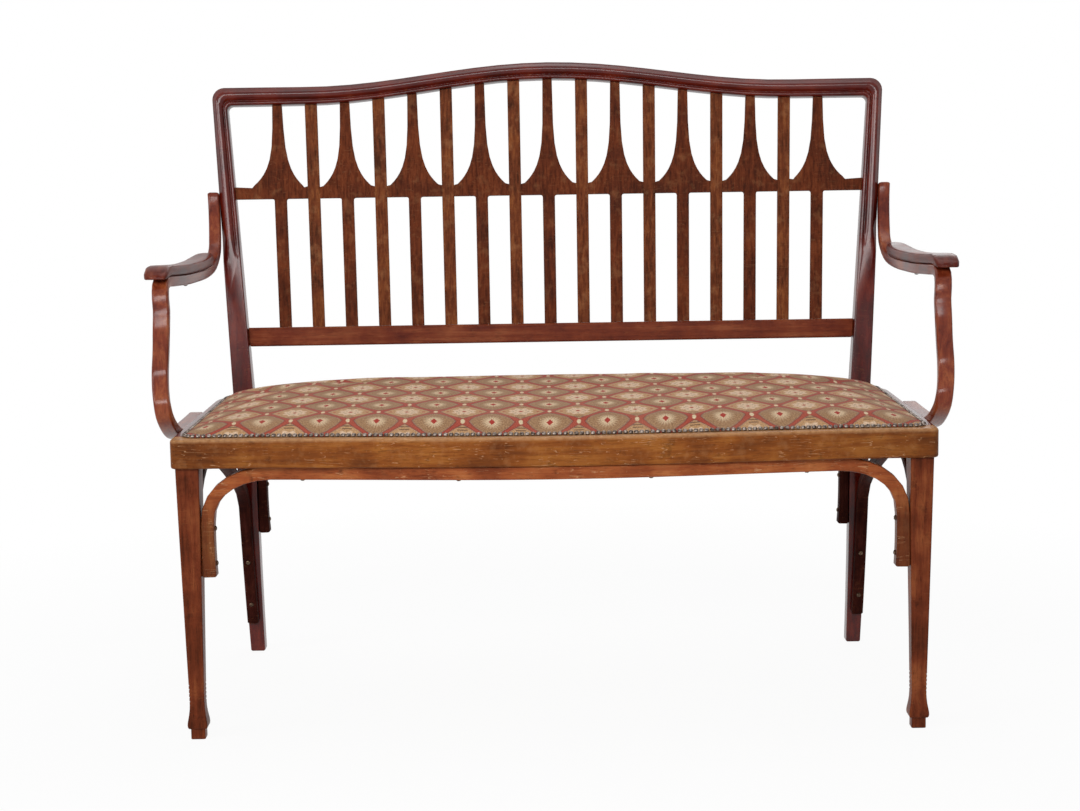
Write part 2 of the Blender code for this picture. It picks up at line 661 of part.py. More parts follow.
def post_outer(z):
    seat_x = HALF_SEAT - POST_INSET
    if z >= BACK_BREAK_Z:
        return seat_x + (z - BACK_BREAK_Z) * POST_SPLAY_SHARE
    share = (BACK_BREAK_Z - z) / BACK_BREAK_Z
    return seat_x - REAR_LEG_TOE_IN * share ** REAR_LEG_CURVE


def post_width(z):
    if z >= BACK_BREAK_Z:
        return POST_WIDTH - (z - BACK_BREAK_Z) * POST_TAPER_SHARE
    return blend(REAR_FOOT_WIDTH, POST_WIDTH, z / BACK_BREAK_Z)


def post_inner(z):
    return post_outer(z) - post_width(z)


def post_front(z):
    if z >= BACK_BREAK_Z:
        return BACK_FRONT_Y + (z - BACK_BREAK_Z) * math.tan(BACK_LEAN)
    share = (BACK_BREAK_Z - z) / BACK_BREAK_Z
    return BACK_FRONT_Y + REAR_LEG_RAKE * share ** REAR_LEG_CURVE


def post_depth(z):
    if z >= BACK_BREAK_Z:
        share = (z - BACK_BREAK_Z) / (CREST_END_Z - BACK_BREAK_Z)
        return blend(POST_DEPTH, CREST_DEPTH, min(share, 1.0))
    return blend(REAR_FOOT_DEPTH, POST_DEPTH, z / BACK_BREAK_Z)


def crest_middle(x):
    return CREST_END_Z + CREST_RISE * bell(x, CREST_HALF_RUN)


def crest_height(x):
    return blend(CREST_HEIGHT, CREST_END_HEIGHT, min(abs(x) / CREST_STRAIGHT_X, 1.0) ** 2)


def crest_xs():
    return [CREST_STRAIGHT_X * i / CREST_STATIONS for i in range(CREST_STATIONS + 1)]


def crest_under(x):
    # The crest's lower edge, read along the same straight facets as the frame has.
    rows = [(u, crest_middle(u) - crest_height(u) / 2) for u in crest_xs()]
    return table_value(rows, abs(x), 1)


def frame_ring(outer, inner, depth, moulded, lean):
    # One section of the back frame, between an outer and an inner (x, z) on its front face.
    back = Vector((0.0, math.cos(lean), -math.sin(lean)))
    front_outer = Vector((outer[0], post_front(outer[1]), outer[1]))
    front_inner = Vector((inner[0], post_front(inner[1]), inner[1]))
    ring = []
    for (s0, d0), (s1, d1) in zip(PLAIN_SECTION_SHARES, MOULDED_SECTION_SHARES):
        s = blend(s0, s1, moulded)
        d = blend(d0, d1, moulded)
        point = front_outer.lerp(front_inner, s) + back * (1 - d) * depth
        ring.append(point)
    return ring


def half_frame_rings():
    # From the right foot up the leg and the post, round the corner and along to the crest's middle.
    rings = []
    foot_z = 0.0
    half = post_width(foot_z) / 2
    foot_x = post_outer(foot_z) - half
    small = half - REAR_FOOT_EASE
    ring = frame_ring((foot_x + small, foot_z), (foot_x - small, foot_z), post_depth(foot_z), 0.0, 0.0)
    rings.append(ring)
    for share in REAR_LEG_SHARES:
        z = max(share * BACK_BREAK_Z, REAR_FOOT_EASE)
        rings.append(frame_ring((post_outer(z), z), (post_inner(z), z), post_depth(z), 0.0, 0.0))
    rise = CREST_END_Z - BACK_BREAK_Z
    levels = [BACK_BREAK_Z + rise * share for share in POST_SHARES[:-1]]
    levels = [z for z in levels if z < MOULDING_FOOT_Z or z > MOULDING_FOOT_Z + MOULDING_RUN_IN]
    levels += [MOULDING_FOOT_Z, MOULDING_FOOT_Z + MOULDING_RUN_IN / 2, MOULDING_FOOT_Z + MOULDING_RUN_IN]
    for index, z in enumerate(sorted(levels)):
        share = (z - MOULDING_FOOT_Z) / MOULDING_RUN_IN
        moulded = min(max(share, 0.0), 1.0)
        lean = BACK_LEAN * 0.5 if index == 0 else BACK_LEAN
        rings.append(frame_ring((post_outer(z), z), (post_inner(z), z), post_depth(z), moulded, lean))
    end_x = CREST_STRAIGHT_X
    top_z = crest_middle(end_x) + CREST_END_HEIGHT / 2
    under_z = crest_middle(end_x) - CREST_END_HEIGHT / 2
    outer_z = top_z - CREST_OUTER_RADIUS
    inner_z = under_z - CREST_INNER_RADIUS
    outer_x = post_outer(outer_z) - CREST_OUTER_RADIUS
    inner_x = post_inner(inner_z) - CREST_INNER_RADIUS
    outer_arc = arc(outer_x, outer_z, CREST_OUTER_RADIUS, 0.0, QUARTER_TURN, CORNER_STATIONS)
    inner_arc = arc(inner_x, inner_z, CREST_INNER_RADIUS, 0.0, QUARTER_TURN, CORNER_STATIONS)
    for outer, inner in zip(outer_arc, inner_arc):
        rings.append(frame_ring(outer, inner, CREST_DEPTH, 1.0, BACK_LEAN))
    for x in reversed(crest_xs()):
        half = crest_height(x) / 2
        middle = crest_middle(x)
        rings.append(frame_ring((x, middle + half), (x, middle - half), CREST_DEPTH, 1.0, BACK_LEAN))
    return rings


def build_back_frame():
    right = half_frame_rings()
    left = [[Vector((-p.x, p.y, p.z)) for p in ring] for ring in right]
    frame = loft("back_frame", left[:-1] + list(reversed(right)), FRAME_WOOD)
    outline = bent_outline(FIT_GAP, SEAT_DEPTH - REAR_CORNER_RADIUS - CUT_OVERRUN)
    mesh = slab_mesh("seat_corner_cutter", outline, RAIL_HEIGHT + 2 * FIT_GAP)
    cutter = bpy.data.objects.new("seat_corner_cutter", mesh)
    cutters.objects.link(cutter)
    cutter.parent = centre
    cutter.location.z = SEAT_TOP - RAIL_HEIGHT / 2
    cutter.hide_render = True
    cutter.display_type = "WIRE"
    housing = frame.modifiers.new("Seat housing", "BOOLEAN")
    housing.operation = "DIFFERENCE"
    housing.solver = "EXACT"
    housing.object = cutter


def slope_length(z):
    return z / math.cos(BACK_LEAN)


def lean_in_back(obj, x, z, setback):
    # Stands an outline up in the back's plane, with its origin at (x, z) of the frame's front face.
    back = Vector((0.0, math.cos(BACK_LEAN), -math.sin(BACK_LEAN)))
    obj.rotation_euler = (QUARTER_TURN - BACK_LEAN, 0.0, 0.0)
    obj.location = Vector((x, post_front(z), z)) + back * setback


def build_lower_rail():
    low = LOWER_RAIL_TOP_Z - LOWER_RAIL_HEIGHT
    wide_top = post_inner(LOWER_RAIL_TOP_Z) - FIT_GAP
    wide_low = post_inner(low) - FIT_GAP
    rise = slope_length(LOWER_RAIL_HEIGHT)
    outline = [(-wide_low, 0.0), (wide_low, 0.0), (wide_top, rise), (-wide_top, rise)]
    rail = slab("back_lower_rail", outline, LOWER_RAIL_THICK, FRAME_WOOD)
    lean_in_back(rail, 0.0, low, LOWER_RAIL_SETBACK + LOWER_RAIL_THICK / 2)
    add_bevel(rail, LOWER_RAIL_EASE, 1)


# Slats.

def slat_foot_z():
    return LOWER_RAIL_TOP_Z + FIT_GAP


def slat_pitch(z):
    # Distance between slats: they share out the rail between the posts, and fan out upwards.
    foot_pitch = (post_inner(LOWER_RAIL_TOP_Z) - SLAT_END_SPACE) / PLAIN_SLATS
    return foot_pitch + (z - LOWER_RAIL_TOP_Z) * SLAT_FAN_SHARE


def slat_x(index, z):
    return index * slat_pitch(z)


def slat_point(index, z, offset):
    # A point of a slat's outline, from its own foot.
    x = slat_x(index, z) + offset - slat_x(index, slat_foot_z())
    return (x, slope_length(z - slat_foot_z()))


def slat_top(index, half):
    # Three points along the slat's top, which follows the crest's lower edge.
    points = []
    guess = crest_under(slat_x(index, CREST_END_Z))
    for share in (1.0, 0.0, -1.0):
        offset = half * share
        z = crest_under(slat_x(index, guess) + offset) - FIT_GAP
        points.append((offset, z))
    return [slat_point(index, z, offset) for offset, z in points]


def place_slat(name, index, outline):
    obj = slab(name, outline, SLAT_THICK, SLAT_WOOD)
    lean_in_back(obj, slat_x(index, slat_foot_z()), slat_foot_z(), SLAT_SETBACK + SLAT_THICK / 2)


def build_plain_slat(name, index):
    half = SLAT_WIDTH / 2
    foot = slat_foot_z()
    outline = [slat_point(index, foot, -half), slat_point(index, foot, half)]
    place_slat(name, index, outline + slat_top(index, half))


def fret_side(index, side):
    # One side of a fretted slat from its foot up, as (height, distance from its middle line).
    half = SLAT_WIDTH / 2
    band_top = FRET_BAND_Z + FRET_BAND_HEIGHT
    reach = slat_pitch(FRET_BAND_Z) - SLAT_WIDTH / 2 - FIT_GAP
    flare_foot = reach - FRET_GAP_WIDTH
    at_end = abs(index) == PLAIN_SLATS and side * index > 0
    radius = FRET_CORNER_RADIUS
    points = [(slat_foot_z(), half), (FRET_BAND_Z - radius, half)]
    corner = arc(half + radius, FRET_BAND_Z - radius, radius, 2 * QUARTER_TURN, QUARTER_TURN, 3)
    points += [(z, x) for x, z in corner[1:]]
    if at_end:
        # The outermost shoulder runs on to the post, which leans away from the slat's middle line.
        low = post_inner(FRET_BAND_Z) - abs(slat_x(index, FRET_BAND_Z)) - FIT_GAP
        high = post_inner(band_top) - abs(slat_x(index, band_top)) - FIT_GAP
        points += [(FRET_BAND_Z, low), (band_top, high)]
        flare_foot = FRET_END_SHOULDER
    else:
        points += [(FRET_BAND_Z, reach), (band_top, reach)]
    neck = FRET_NECK_WIDTH / 2
    for share in FRET_FLARE_SHARES:
        rise = share * FRET_FLARE_FALL
        points.append((band_top + rise, neck + (flare_foot - neck) * math.exp(-share)))
    return points


def build_fret_slat(name, index):
    neck = FRET_NECK_WIDTH / 2
    right = [slat_point(index, z, x) for z, x in fret_side(index, 1)]
    left = [slat_point(index, z, -x) for z, x in fret_side(index, -1)]
    place_slat(name, index, right + slat_top(index, neck) + list(reversed(left)))


# Front legs.

def leg_x():
    return HALF_SEAT - LEG_INSET


def leg_height():
    return RAIL_BOTTOM - FIT_GAP


def leg_width(z):
    return LEG_TOP_WIDTH * table_value(LEG_TAPER_SHARES, z / leg_height(), 1)


def leg_depth(z):
    square = table_value(LEG_TAPER_SHARES, z / leg_height(), 2)
    return leg_width(z) * blend(LEG_TOP_DEPTH / LEG_TOP_WIDTH, 1.0, square)


def leg_front(z):
    return LEG_FRONT_Y + LEG_SLOPE_IN * (1 - z / leg_height())


def leg_inner(z):
    return leg_x() - leg_width(z) / 2


def leg_back(z):
    return leg_front(z) + leg_depth(z)


def build_front_leg(side, label):
    levels = []
    ankle = leg_front(FOOT_HEIGHT) + leg_depth(FOOT_HEIGHT) / 2
    for height_share, width_share in FOOT_SHARES[:-1]:
        size = FOOT_WIDTH * width_share
        levels.append((FOOT_HEIGHT * height_share, size, size, ankle))
    heights = [FOOT_HEIGHT]
    heights += [leg_height() * row[0] for row in LEG_TAPER_SHARES[1:]]
    levels += [(z, leg_width(z), leg_depth(z), leg_front(z) + leg_depth(z) / 2) for z in heights]
    for i in range(GROOVES):
        middle = GROOVE_FIRST_Z + i * GROOVE_PITCH
        for step in (-1, 0, 1):
            z = middle + step * GROOVE_HALF_WIDTH
            cut = 0.0 if step else 2 * GROOVE_DEPTH
            y = leg_front(z) + leg_depth(z) / 2
            levels.append((z, leg_width(z) - cut, leg_depth(z) - cut, y))
    rings = []
    for z, width, depth, y in sorted(levels):
        section = eased_section(width, depth, LEG_EASE, 3)
        rings.append([Vector((side * leg_x() + u, y + v, z)) for u, v in section])
    loft("front_leg_" + label, rings, FRAME_WOOD)


# Arches under the seat.

def flare_at(z, foot_z):
    # A strip thickens towards its lower end.
    share = min(max((z - foot_z) / ARCH_FLARE_RUN, 0.0), 1.0)
    return ARCH_FLARE * (1 - share) ** 2


def leg_levels(foot_z, bend_z):
    steps = 4
    return [blend(foot_z, bend_z, i / steps) for i in range(steps)]


def front_arch_y(x):
    leg_y = leg_front(FRONT_ARCH_BEND_Z) + FRONT_ARCH_SETBACK + ARCH_WIDTH / 2
    middle_y = FRONT_ARCH_COVER + ARCH_WIDTH / 2 - FRONT_BOW
    return blend(leg_y, middle_y, bell(x, RAIL_INNER_X))


def arch_half(foot_z, bend_z, bend_run, fullness, thickness, inner_x, place_y, run_y):
    # Right half of an arch: up the leg's inner face, round the bend and in under the rail.
    stations = []
    for z in leg_levels(foot_z, bend_z):
        thick = thickness + flare_at(z, foot_z)
        x = inner_x(z) - FIT_GAP - thick / 2
        stations.append((Vector((x, place_y(z), z)), ARCH_WIDTH, thick))
    start_x = inner_x(bend_z) - FIT_GAP - thickness / 2
    top_z = RAIL_BOTTOM - FIT_GAP - thickness / 2
    for i in range(ARCH_BEND_STATIONS + 1):
        angle = QUARTER_TURN * i / ARCH_BEND_STATIONS
        x = start_x - bend_run * (1 - math.cos(angle))
        z = bend_z + (top_z - bend_z) * math.sin(angle) ** fullness
        y = blend(place_y(bend_z), run_y(x), math.sin(angle))
        stations.append((Vector((x, y, z)), ARCH_WIDTH, thickness))
    run = start_x - bend_run
    steps = 6
    for i in range(1, steps + 1):
        x = run * (1 - i / steps)
        stations.append((Vector((x, run_y(x), top_z)), ARCH_WIDTH, thickness))
    return stations


def mirrored(stations):
    return [(Vector((-m.x, m.y, m.z)), width, thickness) for m, width, thickness in stations]


def build_arch(name, half, material, points_per_corner):
    whole = half[:-1] + list(reversed(mirrored(half)))
    stations = with_soft_ends(whole, ARCH_TIP_EASE)
    return loft(name, strip_rings(stations, Y_AXIS, ARCH_EASE, points_per_corner), material)


def front_arch_place(z):
    return leg_front(z) + FRONT_ARCH_SETBACK + ARCH_WIDTH / 2


def rear_arch_place(z):
    return post_front(z) + REAR_ARCH_SETBACK + ARCH_WIDTH / 2


def rear_arch_run(x):
    return SEAT_DEPTH - RAIL_THICK / 2


def side_arch_x(y):
    rear = post_outer(SIDE_ARCH_REAR_BEND_Z) - SIDE_ARCH_INSET - SIDE_ARCH_WIDTH / 2
    front = leg_x()
    share = min(max((y - leg_back(SIDE_ARCH_FRONT_BEND_Z)) / (BACK_FRONT_Y - LEG_TOP_DEPTH), 0.0), 1.0)
    return blend(front, rear, share)


def side_arch_stations():
    # From the rear leg's foot up, forward under the side rail and down the front leg's back.
    thickness = SIDE_ARCH_THICK
    top_z = RAIL_BOTTOM - FIT_GAP - thickness / 2
    stations = []
    steps = 5
    for i in range(steps):
        z = blend(SIDE_ARCH_REAR_FOOT_Z, SIDE_ARCH_REAR_BEND_Z, i / steps)
        y = post_front(z) - FIT_GAP - thickness / 2
        x = post_outer(z) - SIDE_ARCH_INSET - SIDE_ARCH_WIDTH / 2
        stations.append((Vector((x, y, z)), SIDE_ARCH_WIDTH, thickness))
    rear_y = post_front(SIDE_ARCH_REAR_BEND_Z) - FIT_GAP - thickness / 2
    for run_share, rise_share in SIDE_ARCH_BEND_SHARES:
        y = rear_y - SIDE_ARCH_REAR_BEND_RUN * run_share
        z = blend(SIDE_ARCH_REAR_BEND_Z, top_z, rise_share)
        stations.append((Vector((side_arch_x(y), y, z)), SIDE_ARCH_WIDTH, thickness))
    front_y = leg_back(SIDE_ARCH_FRONT_BEND_Z) + FIT_GAP + thickness / 2
    for i in range(ARCH_BEND_STATIONS + 1):
        angle = QUARTER_TURN * (1 - i / ARCH_BEND_STATIONS)
        y = front_y + SIDE_ARCH_FRONT_BEND_RUN * (1 - math.cos(angle))
        z = blend(SIDE_ARCH_FRONT_BEND_Z, top_z, math.sin(angle))
        stations.append((Vector((side_arch_x(y), y, z)), SIDE_ARCH_WIDTH, thickness))
    steps = 4
    for i in range(1, steps + 1):
        z = blend(SIDE_ARCH_FRONT_BEND_Z, SIDE_ARCH_FRONT_FOOT_Z, i / steps)
        thick = thickness + flare_at(z, SIDE_ARCH_FRONT_FOOT_Z)
        y = leg_back(z) + FIT_GAP + thick / 2
        stations.append((Vector((leg_x(), y, z)), SIDE_ARCH_WIDTH, thick))
    return stations


def build_side_arch(side, label):
    stations = side_arch_stations()
    if side < 0:
        stations = mirrored(stations)
    stations = with_soft_ends(stations, ARCH_TIP_EASE)
    loft("side_arch_" + label, strip_rings(stations, X_AXIS, ARCH_EASE, 2), FRAME_WOOD)


# Arms.

def arm_stations():
    # (y, z, inner x, width, thickness) from the rear end on the seat rail to the top on the post.
    rows = []
    for y_share, z_share, bow_share in ARM_PATH_SHARES:
        y = SEAT_DEPTH * y_share
        z = SEAT_TOP + ARM_RISE * z_share
        inner = HALF_SEAT + FIT_GAP + ARM_BOW * bow_share
        rear = min(max((y - SEAT_DEPTH / 2) / (SEAT_DEPTH / 2), 0.0), 1.0) if z_share > 0.5 else 0.0
        rows.append((y, z, inner, blend(ARM_WIDTH, ARM_REAR_WIDTH, rear), ARM_THICK))
    last = len(ARM_POST_SHARES) - 1
    for index, (z_share, depth_share) in enumerate(ARM_POST_SHARES):
        z = SEAT_TOP + ARM_RISE * z_share
        y = post_front(z) + ARM_THICK * depth_share
        inner = post_outer(z + ARM_THICK / 2) + FIT_GAP
        thick = ARM_THICK + (ARM_TIP_FLARE if index == last else 0.0)
        rows.append((y, z, inner, ARM_REAR_WIDTH, thick))
    return smooth_path(rows, ARM_STEPS)


def build_arm(side, label):
    stations = []
    for y, z, inner, width, thickness in arm_stations():
        stations.append((Vector((side * (inner + width / 2), y, z)), width, thickness))
    stations = with_soft_ends(stations, ARCH_TIP_EASE)
    loft("arm_" + label, strip_rings(stations, X_AXIS, ARM_EASE, 3), FRAME_WOOD)


def arm_top_rows():
    # The upper edge of the arm's run under the board, as (y, z, inner x, width), from front to back.
    stations = arm_stations()
    rows = []
    last = len(stations) - 1
    for i, (y, z, inner, width, thickness) in enumerate(stations):
        ahead = stations[min(i + 1, last)]
        behind = stations[max(i - 1, 0)]
        run = Vector((ahead[0] - behind[0], ahead[1] - behind[1])).normalized()
        top_y = y - run.y * thickness / 2
        top_z = z + run.x * thickness / 2
        if z > SEAT_TOP + ARM_RISE / 2 and run.x > abs(run.y):
            rows.append((top_y, top_z, inner, width))
    return rows


def board_seat_rows():
    # The strip's upper edge from where it is highest, near its front bend, to its rear end.
    rows = arm_top_rows()
    front = [row for row in rows if row[0] < SEAT_DEPTH / 2]
    highest = max(range(len(front)), key=lambda i: front[i][1])
    return rows[highest:]


def board_stations():
    # The board has a station wherever the strip below it has one, so that both follow one line.
    length = BOARD_END_Y - BOARD_START_Y
    table = [(BOARD_START_Y + length * row[0], *row[1:]) for row in BOARD_SHARES]
    seat_ys = [row[0] for row in board_seat_rows()]
    nose = [row[0] for row in table if row[0] < seat_ys[0] - BOARD_INNER_LAP]
    tail = [row[0] for row in table if row[0] > BOARD_END_Y - BOARD_TAIL_RUN]
    middle = [y for y in seat_ys if y < tail[0] - BOARD_INNER_LAP]
    return [(y, *[table_value(table, y, column) for column in (1, 2, 3)]) for y in nose + middle + tail]


def build_armrest(side, label):
    rows = arm_top_rows()
    seat = board_seat_rows()
    rings = []
    for y, inner_share, outer_share, height in board_stations():
        middle = table_value(rows, y, 2) + BOARD_HALF_WIDTH - BOARD_INNER_LAP
        nose = max(1 - (y - BOARD_START_Y) / BOARD_NOSE_RUN, 0.0)
        thick = BOARD_THICK - BOARD_NOSE_DROP * nose ** 2
        low = table_value(seat, y, 1) + FIT_GAP
        mid_z = low + thick / 2
        ring = []
        for u, v in BOARD_SECTION_SHARES:
            half = BOARD_HALF_WIDTH * (outer_share if u > 0 else inner_share)
            z = mid_z + (v - 0.5) * thick * height
            ring.append(Vector((side * (middle + u * half), y, z)))
        rings.append(ring)
    loft("armrest_" + label, rings, FRAME_WOOD)


# Screws.

def build_screw_mesh():
    mesh = bpy.data.meshes.new("screw_head")
    points = [(SCREW_RADIUS * r, 0.0, SCREW_HEAD * h) for r, h in SCREW_RING_SHARES]
    edges = [(i, i + 1) for i in range(len(points) - 1)]
    mesh.from_pydata(points, edges, [])
    mesh.materials.append(SCREW_STEEL)
    return mesh


def add_screw(name, mesh, seat, facing):
    # A round head whose flat side lies on its seat and whose dome faces outwards.
    obj = bpy.data.objects.new(name, mesh)
    parts.objects.link(obj)
    obj.parent = centre
    turned = obj.modifiers.new("Turned head", "SCREW")
    turned.axis = "Z"
    turned.steps = SCREW_STEPS
    turned.render_steps = SCREW_STEPS
    turned.use_merge_vertices = True
    turned.merge_threshold = WELD_DISTANCE
    turned.use_smooth_shade = True
    obj.rotation_euler = facing.to_track_quat("Z", "Y").to_euler()
    obj.location = seat + facing.normalized() * FIT_GAP


def build_screws():
    mesh = build_screw_mesh()
    for side, label in ((-1, "left"), (1, "right")):
        inward = Vector((-side, 0.0, 0.0))
        for index, z in enumerate(FRONT_ARCH_SCREWS_Z):
            thick = FRONT_ARCH_THICK + flare_at(z, FRONT_ARCH_FOOT_Z)
            x = leg_inner(z) - FIT_GAP - thick
            seat = Vector((side * x, front_arch_place(z), z))
            add_screw(f"screw_front_arch_{label}_{index + 1}", mesh, seat, inward)
        for index, z in enumerate(REAR_ARCH_SCREWS_Z):
            thick = REAR_ARCH_THICK + flare_at(z, REAR_ARCH_FOOT_Z)
            x = post_inner(z) - FIT_GAP - thick
            seat = Vector((side * x, rear_arch_place(z), z))
            add_screw(f"screw_rear_arch_{label}_{index + 1}", mesh, seat, inward)
        for index, z in enumerate(SIDE_ARCH_REAR_SCREWS_Z):
            x = post_outer(z) - SIDE_ARCH_INSET - SIDE_ARCH_WIDTH / 2
            y = post_front(z) - FIT_GAP - SIDE_ARCH_THICK
            rake = post_front(z + SCREW_RADIUS) - post_front(z - SCREW_RADIUS)
            ahead = Vector((0.0, rake, 2 * SCREW_RADIUS))
            facing = Vector((0.0, -ahead.z, ahead.y))
            add_screw(f"screw_side_arch_rear_{label}_{index + 1}", mesh, Vector((side * x, y, z)), facing)
        for index, z in enumerate(SIDE_ARCH_FRONT_SCREWS_Z):
            thick = SIDE_ARCH_THICK + flare_at(z, SIDE_ARCH_FRONT_FOOT_Z)
            y = leg_back(z) + FIT_GAP + thick
            seat = Vector((side * leg_x(), y, z))
            add_screw(f"screw_side_arch_front_{label}_{index + 1}", mesh, seat, Y_AXIS)
        for index, share in enumerate(RUN_SCREW_SHARES):
            x = HALF_SEAT * share
            z = RAIL_BOTTOM - FIT_GAP - FRONT_ARCH_THICK
            seat = Vector((side * x, front_arch_y(x), z))
            add_screw(f"screw_front_run_{label}_{index + 1}", mesh, seat, Vector((0.0, 0.0, -1.0)))
        y = SEAT_DEPTH * ARM_SCREW_SHARE
        rows = arm_top_rows()
        inner = table_value(rows, y, 2)
        z = table_value(rows, y, 1) - ARM_THICK
        seat = Vector((side * (inner + ARM_WIDTH / 2), y, z))
        add_screw(f"screw_armrest_{label}", mesh, seat, Vector((0.0, 0.0, -1.0)))


def build_settee():
    build_front_rail()
    build_bent_rail()
    build_corner_blocks()
    build_webbing()
    build_stuffing()
    build_cover()
    build_back_frame()
    build_lower_rail()
    for number in range(PLAIN_SLATS + 1):
        build_fret_slat(f"fret_slat_{number + 1}", 2 * number - PLAIN_SLATS)
    for number in range(PLAIN_SLATS):
        build_plain_slat(f"plain_slat_{number + 1}", 2 * number + 1 - PLAIN_SLATS)
    front = arch_half(
        FRONT_ARCH_FOOT_Z, FRONT_ARCH_BEND_Z, FRONT_ARCH_BEND_RUN, FRONT_ARCH_FULLNESS,
        FRONT_ARCH_THICK, leg_inner, front_arch_place, front_arch_y)
    build_arch("front_arch", front, RAIL_WOOD, 3)
    rear = arch_half(
        REAR_ARCH_FOOT_Z, REAR_ARCH_BEND_Z, REAR_ARCH_BEND_RUN, REAR_ARCH_FULLNESS,
        REAR_ARCH_THICK, post_inner, rear_arch_place, rear_arch_run)
    build_arch("rear_arch", rear, FRAME_WOOD, 2)
    for side, label in ((-1, "left"), (1, "right")):
        build_front_leg(side, label)
        build_side_arch(side, label)
        build_arm(side, label)
        build_armrest(side, label)
    build_screws()


def centre_settee():
    # Moves the whole settee so that its box is centred front to back.
    bpy.context.view_layer.update()
    depsgraph = bpy.context.evaluated_depsgraph_get()
    low = math.inf
    high = -math.inf
    for obj in parts.objects:
        if obj.type != "MESH":
            continue
        evaluated = obj.evaluated_get(depsgraph)
        mesh = evaluated.to_mesh()
        ys = [(obj.matrix_world @ vertex.co).y for vertex in mesh.vertices]
        evaluated.to_mesh_clear()
        low = min(low, min(ys))
        high = max(high, max(ys))
    centre.location.y = -(low + high) / 2
    bpy.context.view_layer.update()


build_settee()
centre_settee()
print("settee built, moved by", round(centre.location.y, 5))
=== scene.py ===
import bpy
import math
from mathutils import Matrix, Vector, noise


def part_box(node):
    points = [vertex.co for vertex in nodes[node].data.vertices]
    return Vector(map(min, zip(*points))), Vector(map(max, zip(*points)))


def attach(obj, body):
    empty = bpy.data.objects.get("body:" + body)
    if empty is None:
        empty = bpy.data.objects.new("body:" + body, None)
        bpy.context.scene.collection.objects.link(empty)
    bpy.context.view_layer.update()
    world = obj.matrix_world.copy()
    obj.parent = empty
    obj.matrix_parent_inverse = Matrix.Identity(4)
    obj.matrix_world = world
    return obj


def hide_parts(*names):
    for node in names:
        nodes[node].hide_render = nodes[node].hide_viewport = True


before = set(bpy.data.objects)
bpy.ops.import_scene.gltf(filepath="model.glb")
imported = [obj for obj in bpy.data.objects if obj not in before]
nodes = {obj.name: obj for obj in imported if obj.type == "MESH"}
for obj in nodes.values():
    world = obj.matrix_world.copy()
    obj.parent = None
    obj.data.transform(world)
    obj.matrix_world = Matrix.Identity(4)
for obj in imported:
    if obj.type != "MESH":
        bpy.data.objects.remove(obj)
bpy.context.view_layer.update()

mm = 0.001
weld = 0.01 * mm  # points closer than this are one
railLow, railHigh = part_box("seat_front_rail")
print("settee: frame loaded,", len(nodes), "parts")


def toLinear(hexColour):  # sRGB hex to the linear colour that the shader wants
    parts = [int(hexColour[i:i + 2], 16) / 255 for i in (0, 2, 4)]
    return tuple([c / 12.92 if c <= 0.04045 else ((c + 0.055) / 1.055) ** 2.4 for c in parts] + [1.0])


def newMaterial(name):
    material = bpy.data.materials.new(name)
    material.use_nodes = True
    material.node_tree.nodes.clear()
    return material


def addNode(owner, kind, links=None, **settings):
    # links: a socket's name or number, and its value or a (node, output) pair
    node = owner.node_tree.nodes.new("ShaderNode" + kind)
    for key, value in settings.items():
        setattr(node, key, value)
    for key, value in (links or {}).items():
        if isinstance(value, tuple) and isinstance(value[0], bpy.types.Node):
            owner.node_tree.links.new(value[0].outputs[value[1]], node.inputs[key])
        else:
            node.inputs[key].default_value = value
    return node


def setRamp(node, stops):  # stops: (place, hex) pairs, or (place, grey number)
    elements = node.color_ramp.elements
    while len(elements) > 1:
        elements.remove(elements[-1])
    for i, (place, colour) in enumerate(stops):
        element = elements[0] if i == 0 else elements.new(place)
        element.position = place
        element.color = toLinear(colour) if isinstance(colour, str) else (colour, colour, colour, 1.0)
    return node


def deselectAll():
    if bpy.context.mode != "OBJECT":
        bpy.ops.object.mode_set(mode="OBJECT")
    bpy.ops.object.select_all(action="DESELECT")


def makeActive(piece):
    deselectAll()
    piece.select_set(True)
    bpy.context.view_layer.objects.active = piece


def applyModifier(piece, kind, **settings):
    makeActive(piece)
    modifier = piece.modifiers.new(kind.title(), kind)
    for key, value in settings.items():
        setattr(modifier, key, value)
    bpy.ops.object.modifier_apply(modifier=modifier.name)


def placeInMesh(piece):  # the object goes to the origin and keeps its place in its mesh
    makeActive(piece)
    bpy.ops.object.transform_apply(location=True, rotation=True, scale=True)


def finishNode(name, material):
    for slot in nodes[name].material_slots:
        slot.material = material


# Steam-bent beech, stained to red mahogany and French polished: fine short pores under a clear
# film over a dark red ground, rubbed thin and chipped to bare wood along the edges. Pairs such as
# (7, 150) are how wide and how long the grain's marks are, in mm; the other numbers are shares.
frameLook = {
    "dark": "3C0905", "mid": "540F06", "light": "6C2212", "bare": "C07A48", "rubbed": "8E4C30",
    "figure": (7, 150), "pores": (1.3, 14), "fleck": (2.0, 4), "figureShare": 0.8,
    "wear": 0.25, "edgeWear": 0.65, "edgeDark": 0.75, "scratch": 0.08, "smudge": 0.35, "scuff": 0.05,
    "roughness": (0.32, 0.42), "gloss": 0.03, "coat": 0.56, "sheenTint": "F2D8E4",
}
armLook = dict(frameLook, dark="54180C", mid="76301A", light="96502E", edgeWear=0.9, coat=0.46)
boardLook = dict(frameLook, dark="42120A", mid="5C2014", light="763A28", edgeWear=1.0, coat=0.22)
lowerRailLook = dict(frameLook, dark="582012", mid="74341D", light="8E4E30", coat=0.06, scuff=0.2)
# What lies under the seat has never been rubbed bright; its darker colours are painted shade, for the
# shadow under the seat.
underSeatShadeLook = dict(frameLook, dark="220B08", mid="34140E", light="46201A", wear=0.15, edgeWear=0.3,
                 roughness=(0.45, 0.58), coat=0.0)
legLook = dict(frameLook, dark="4A200F", mid="6A301A", light="884A2A", wear=0.5, edgeWear=0.95,
               smudge=0.7, gloss=0.04, coat=0.06, scuff=0.15)
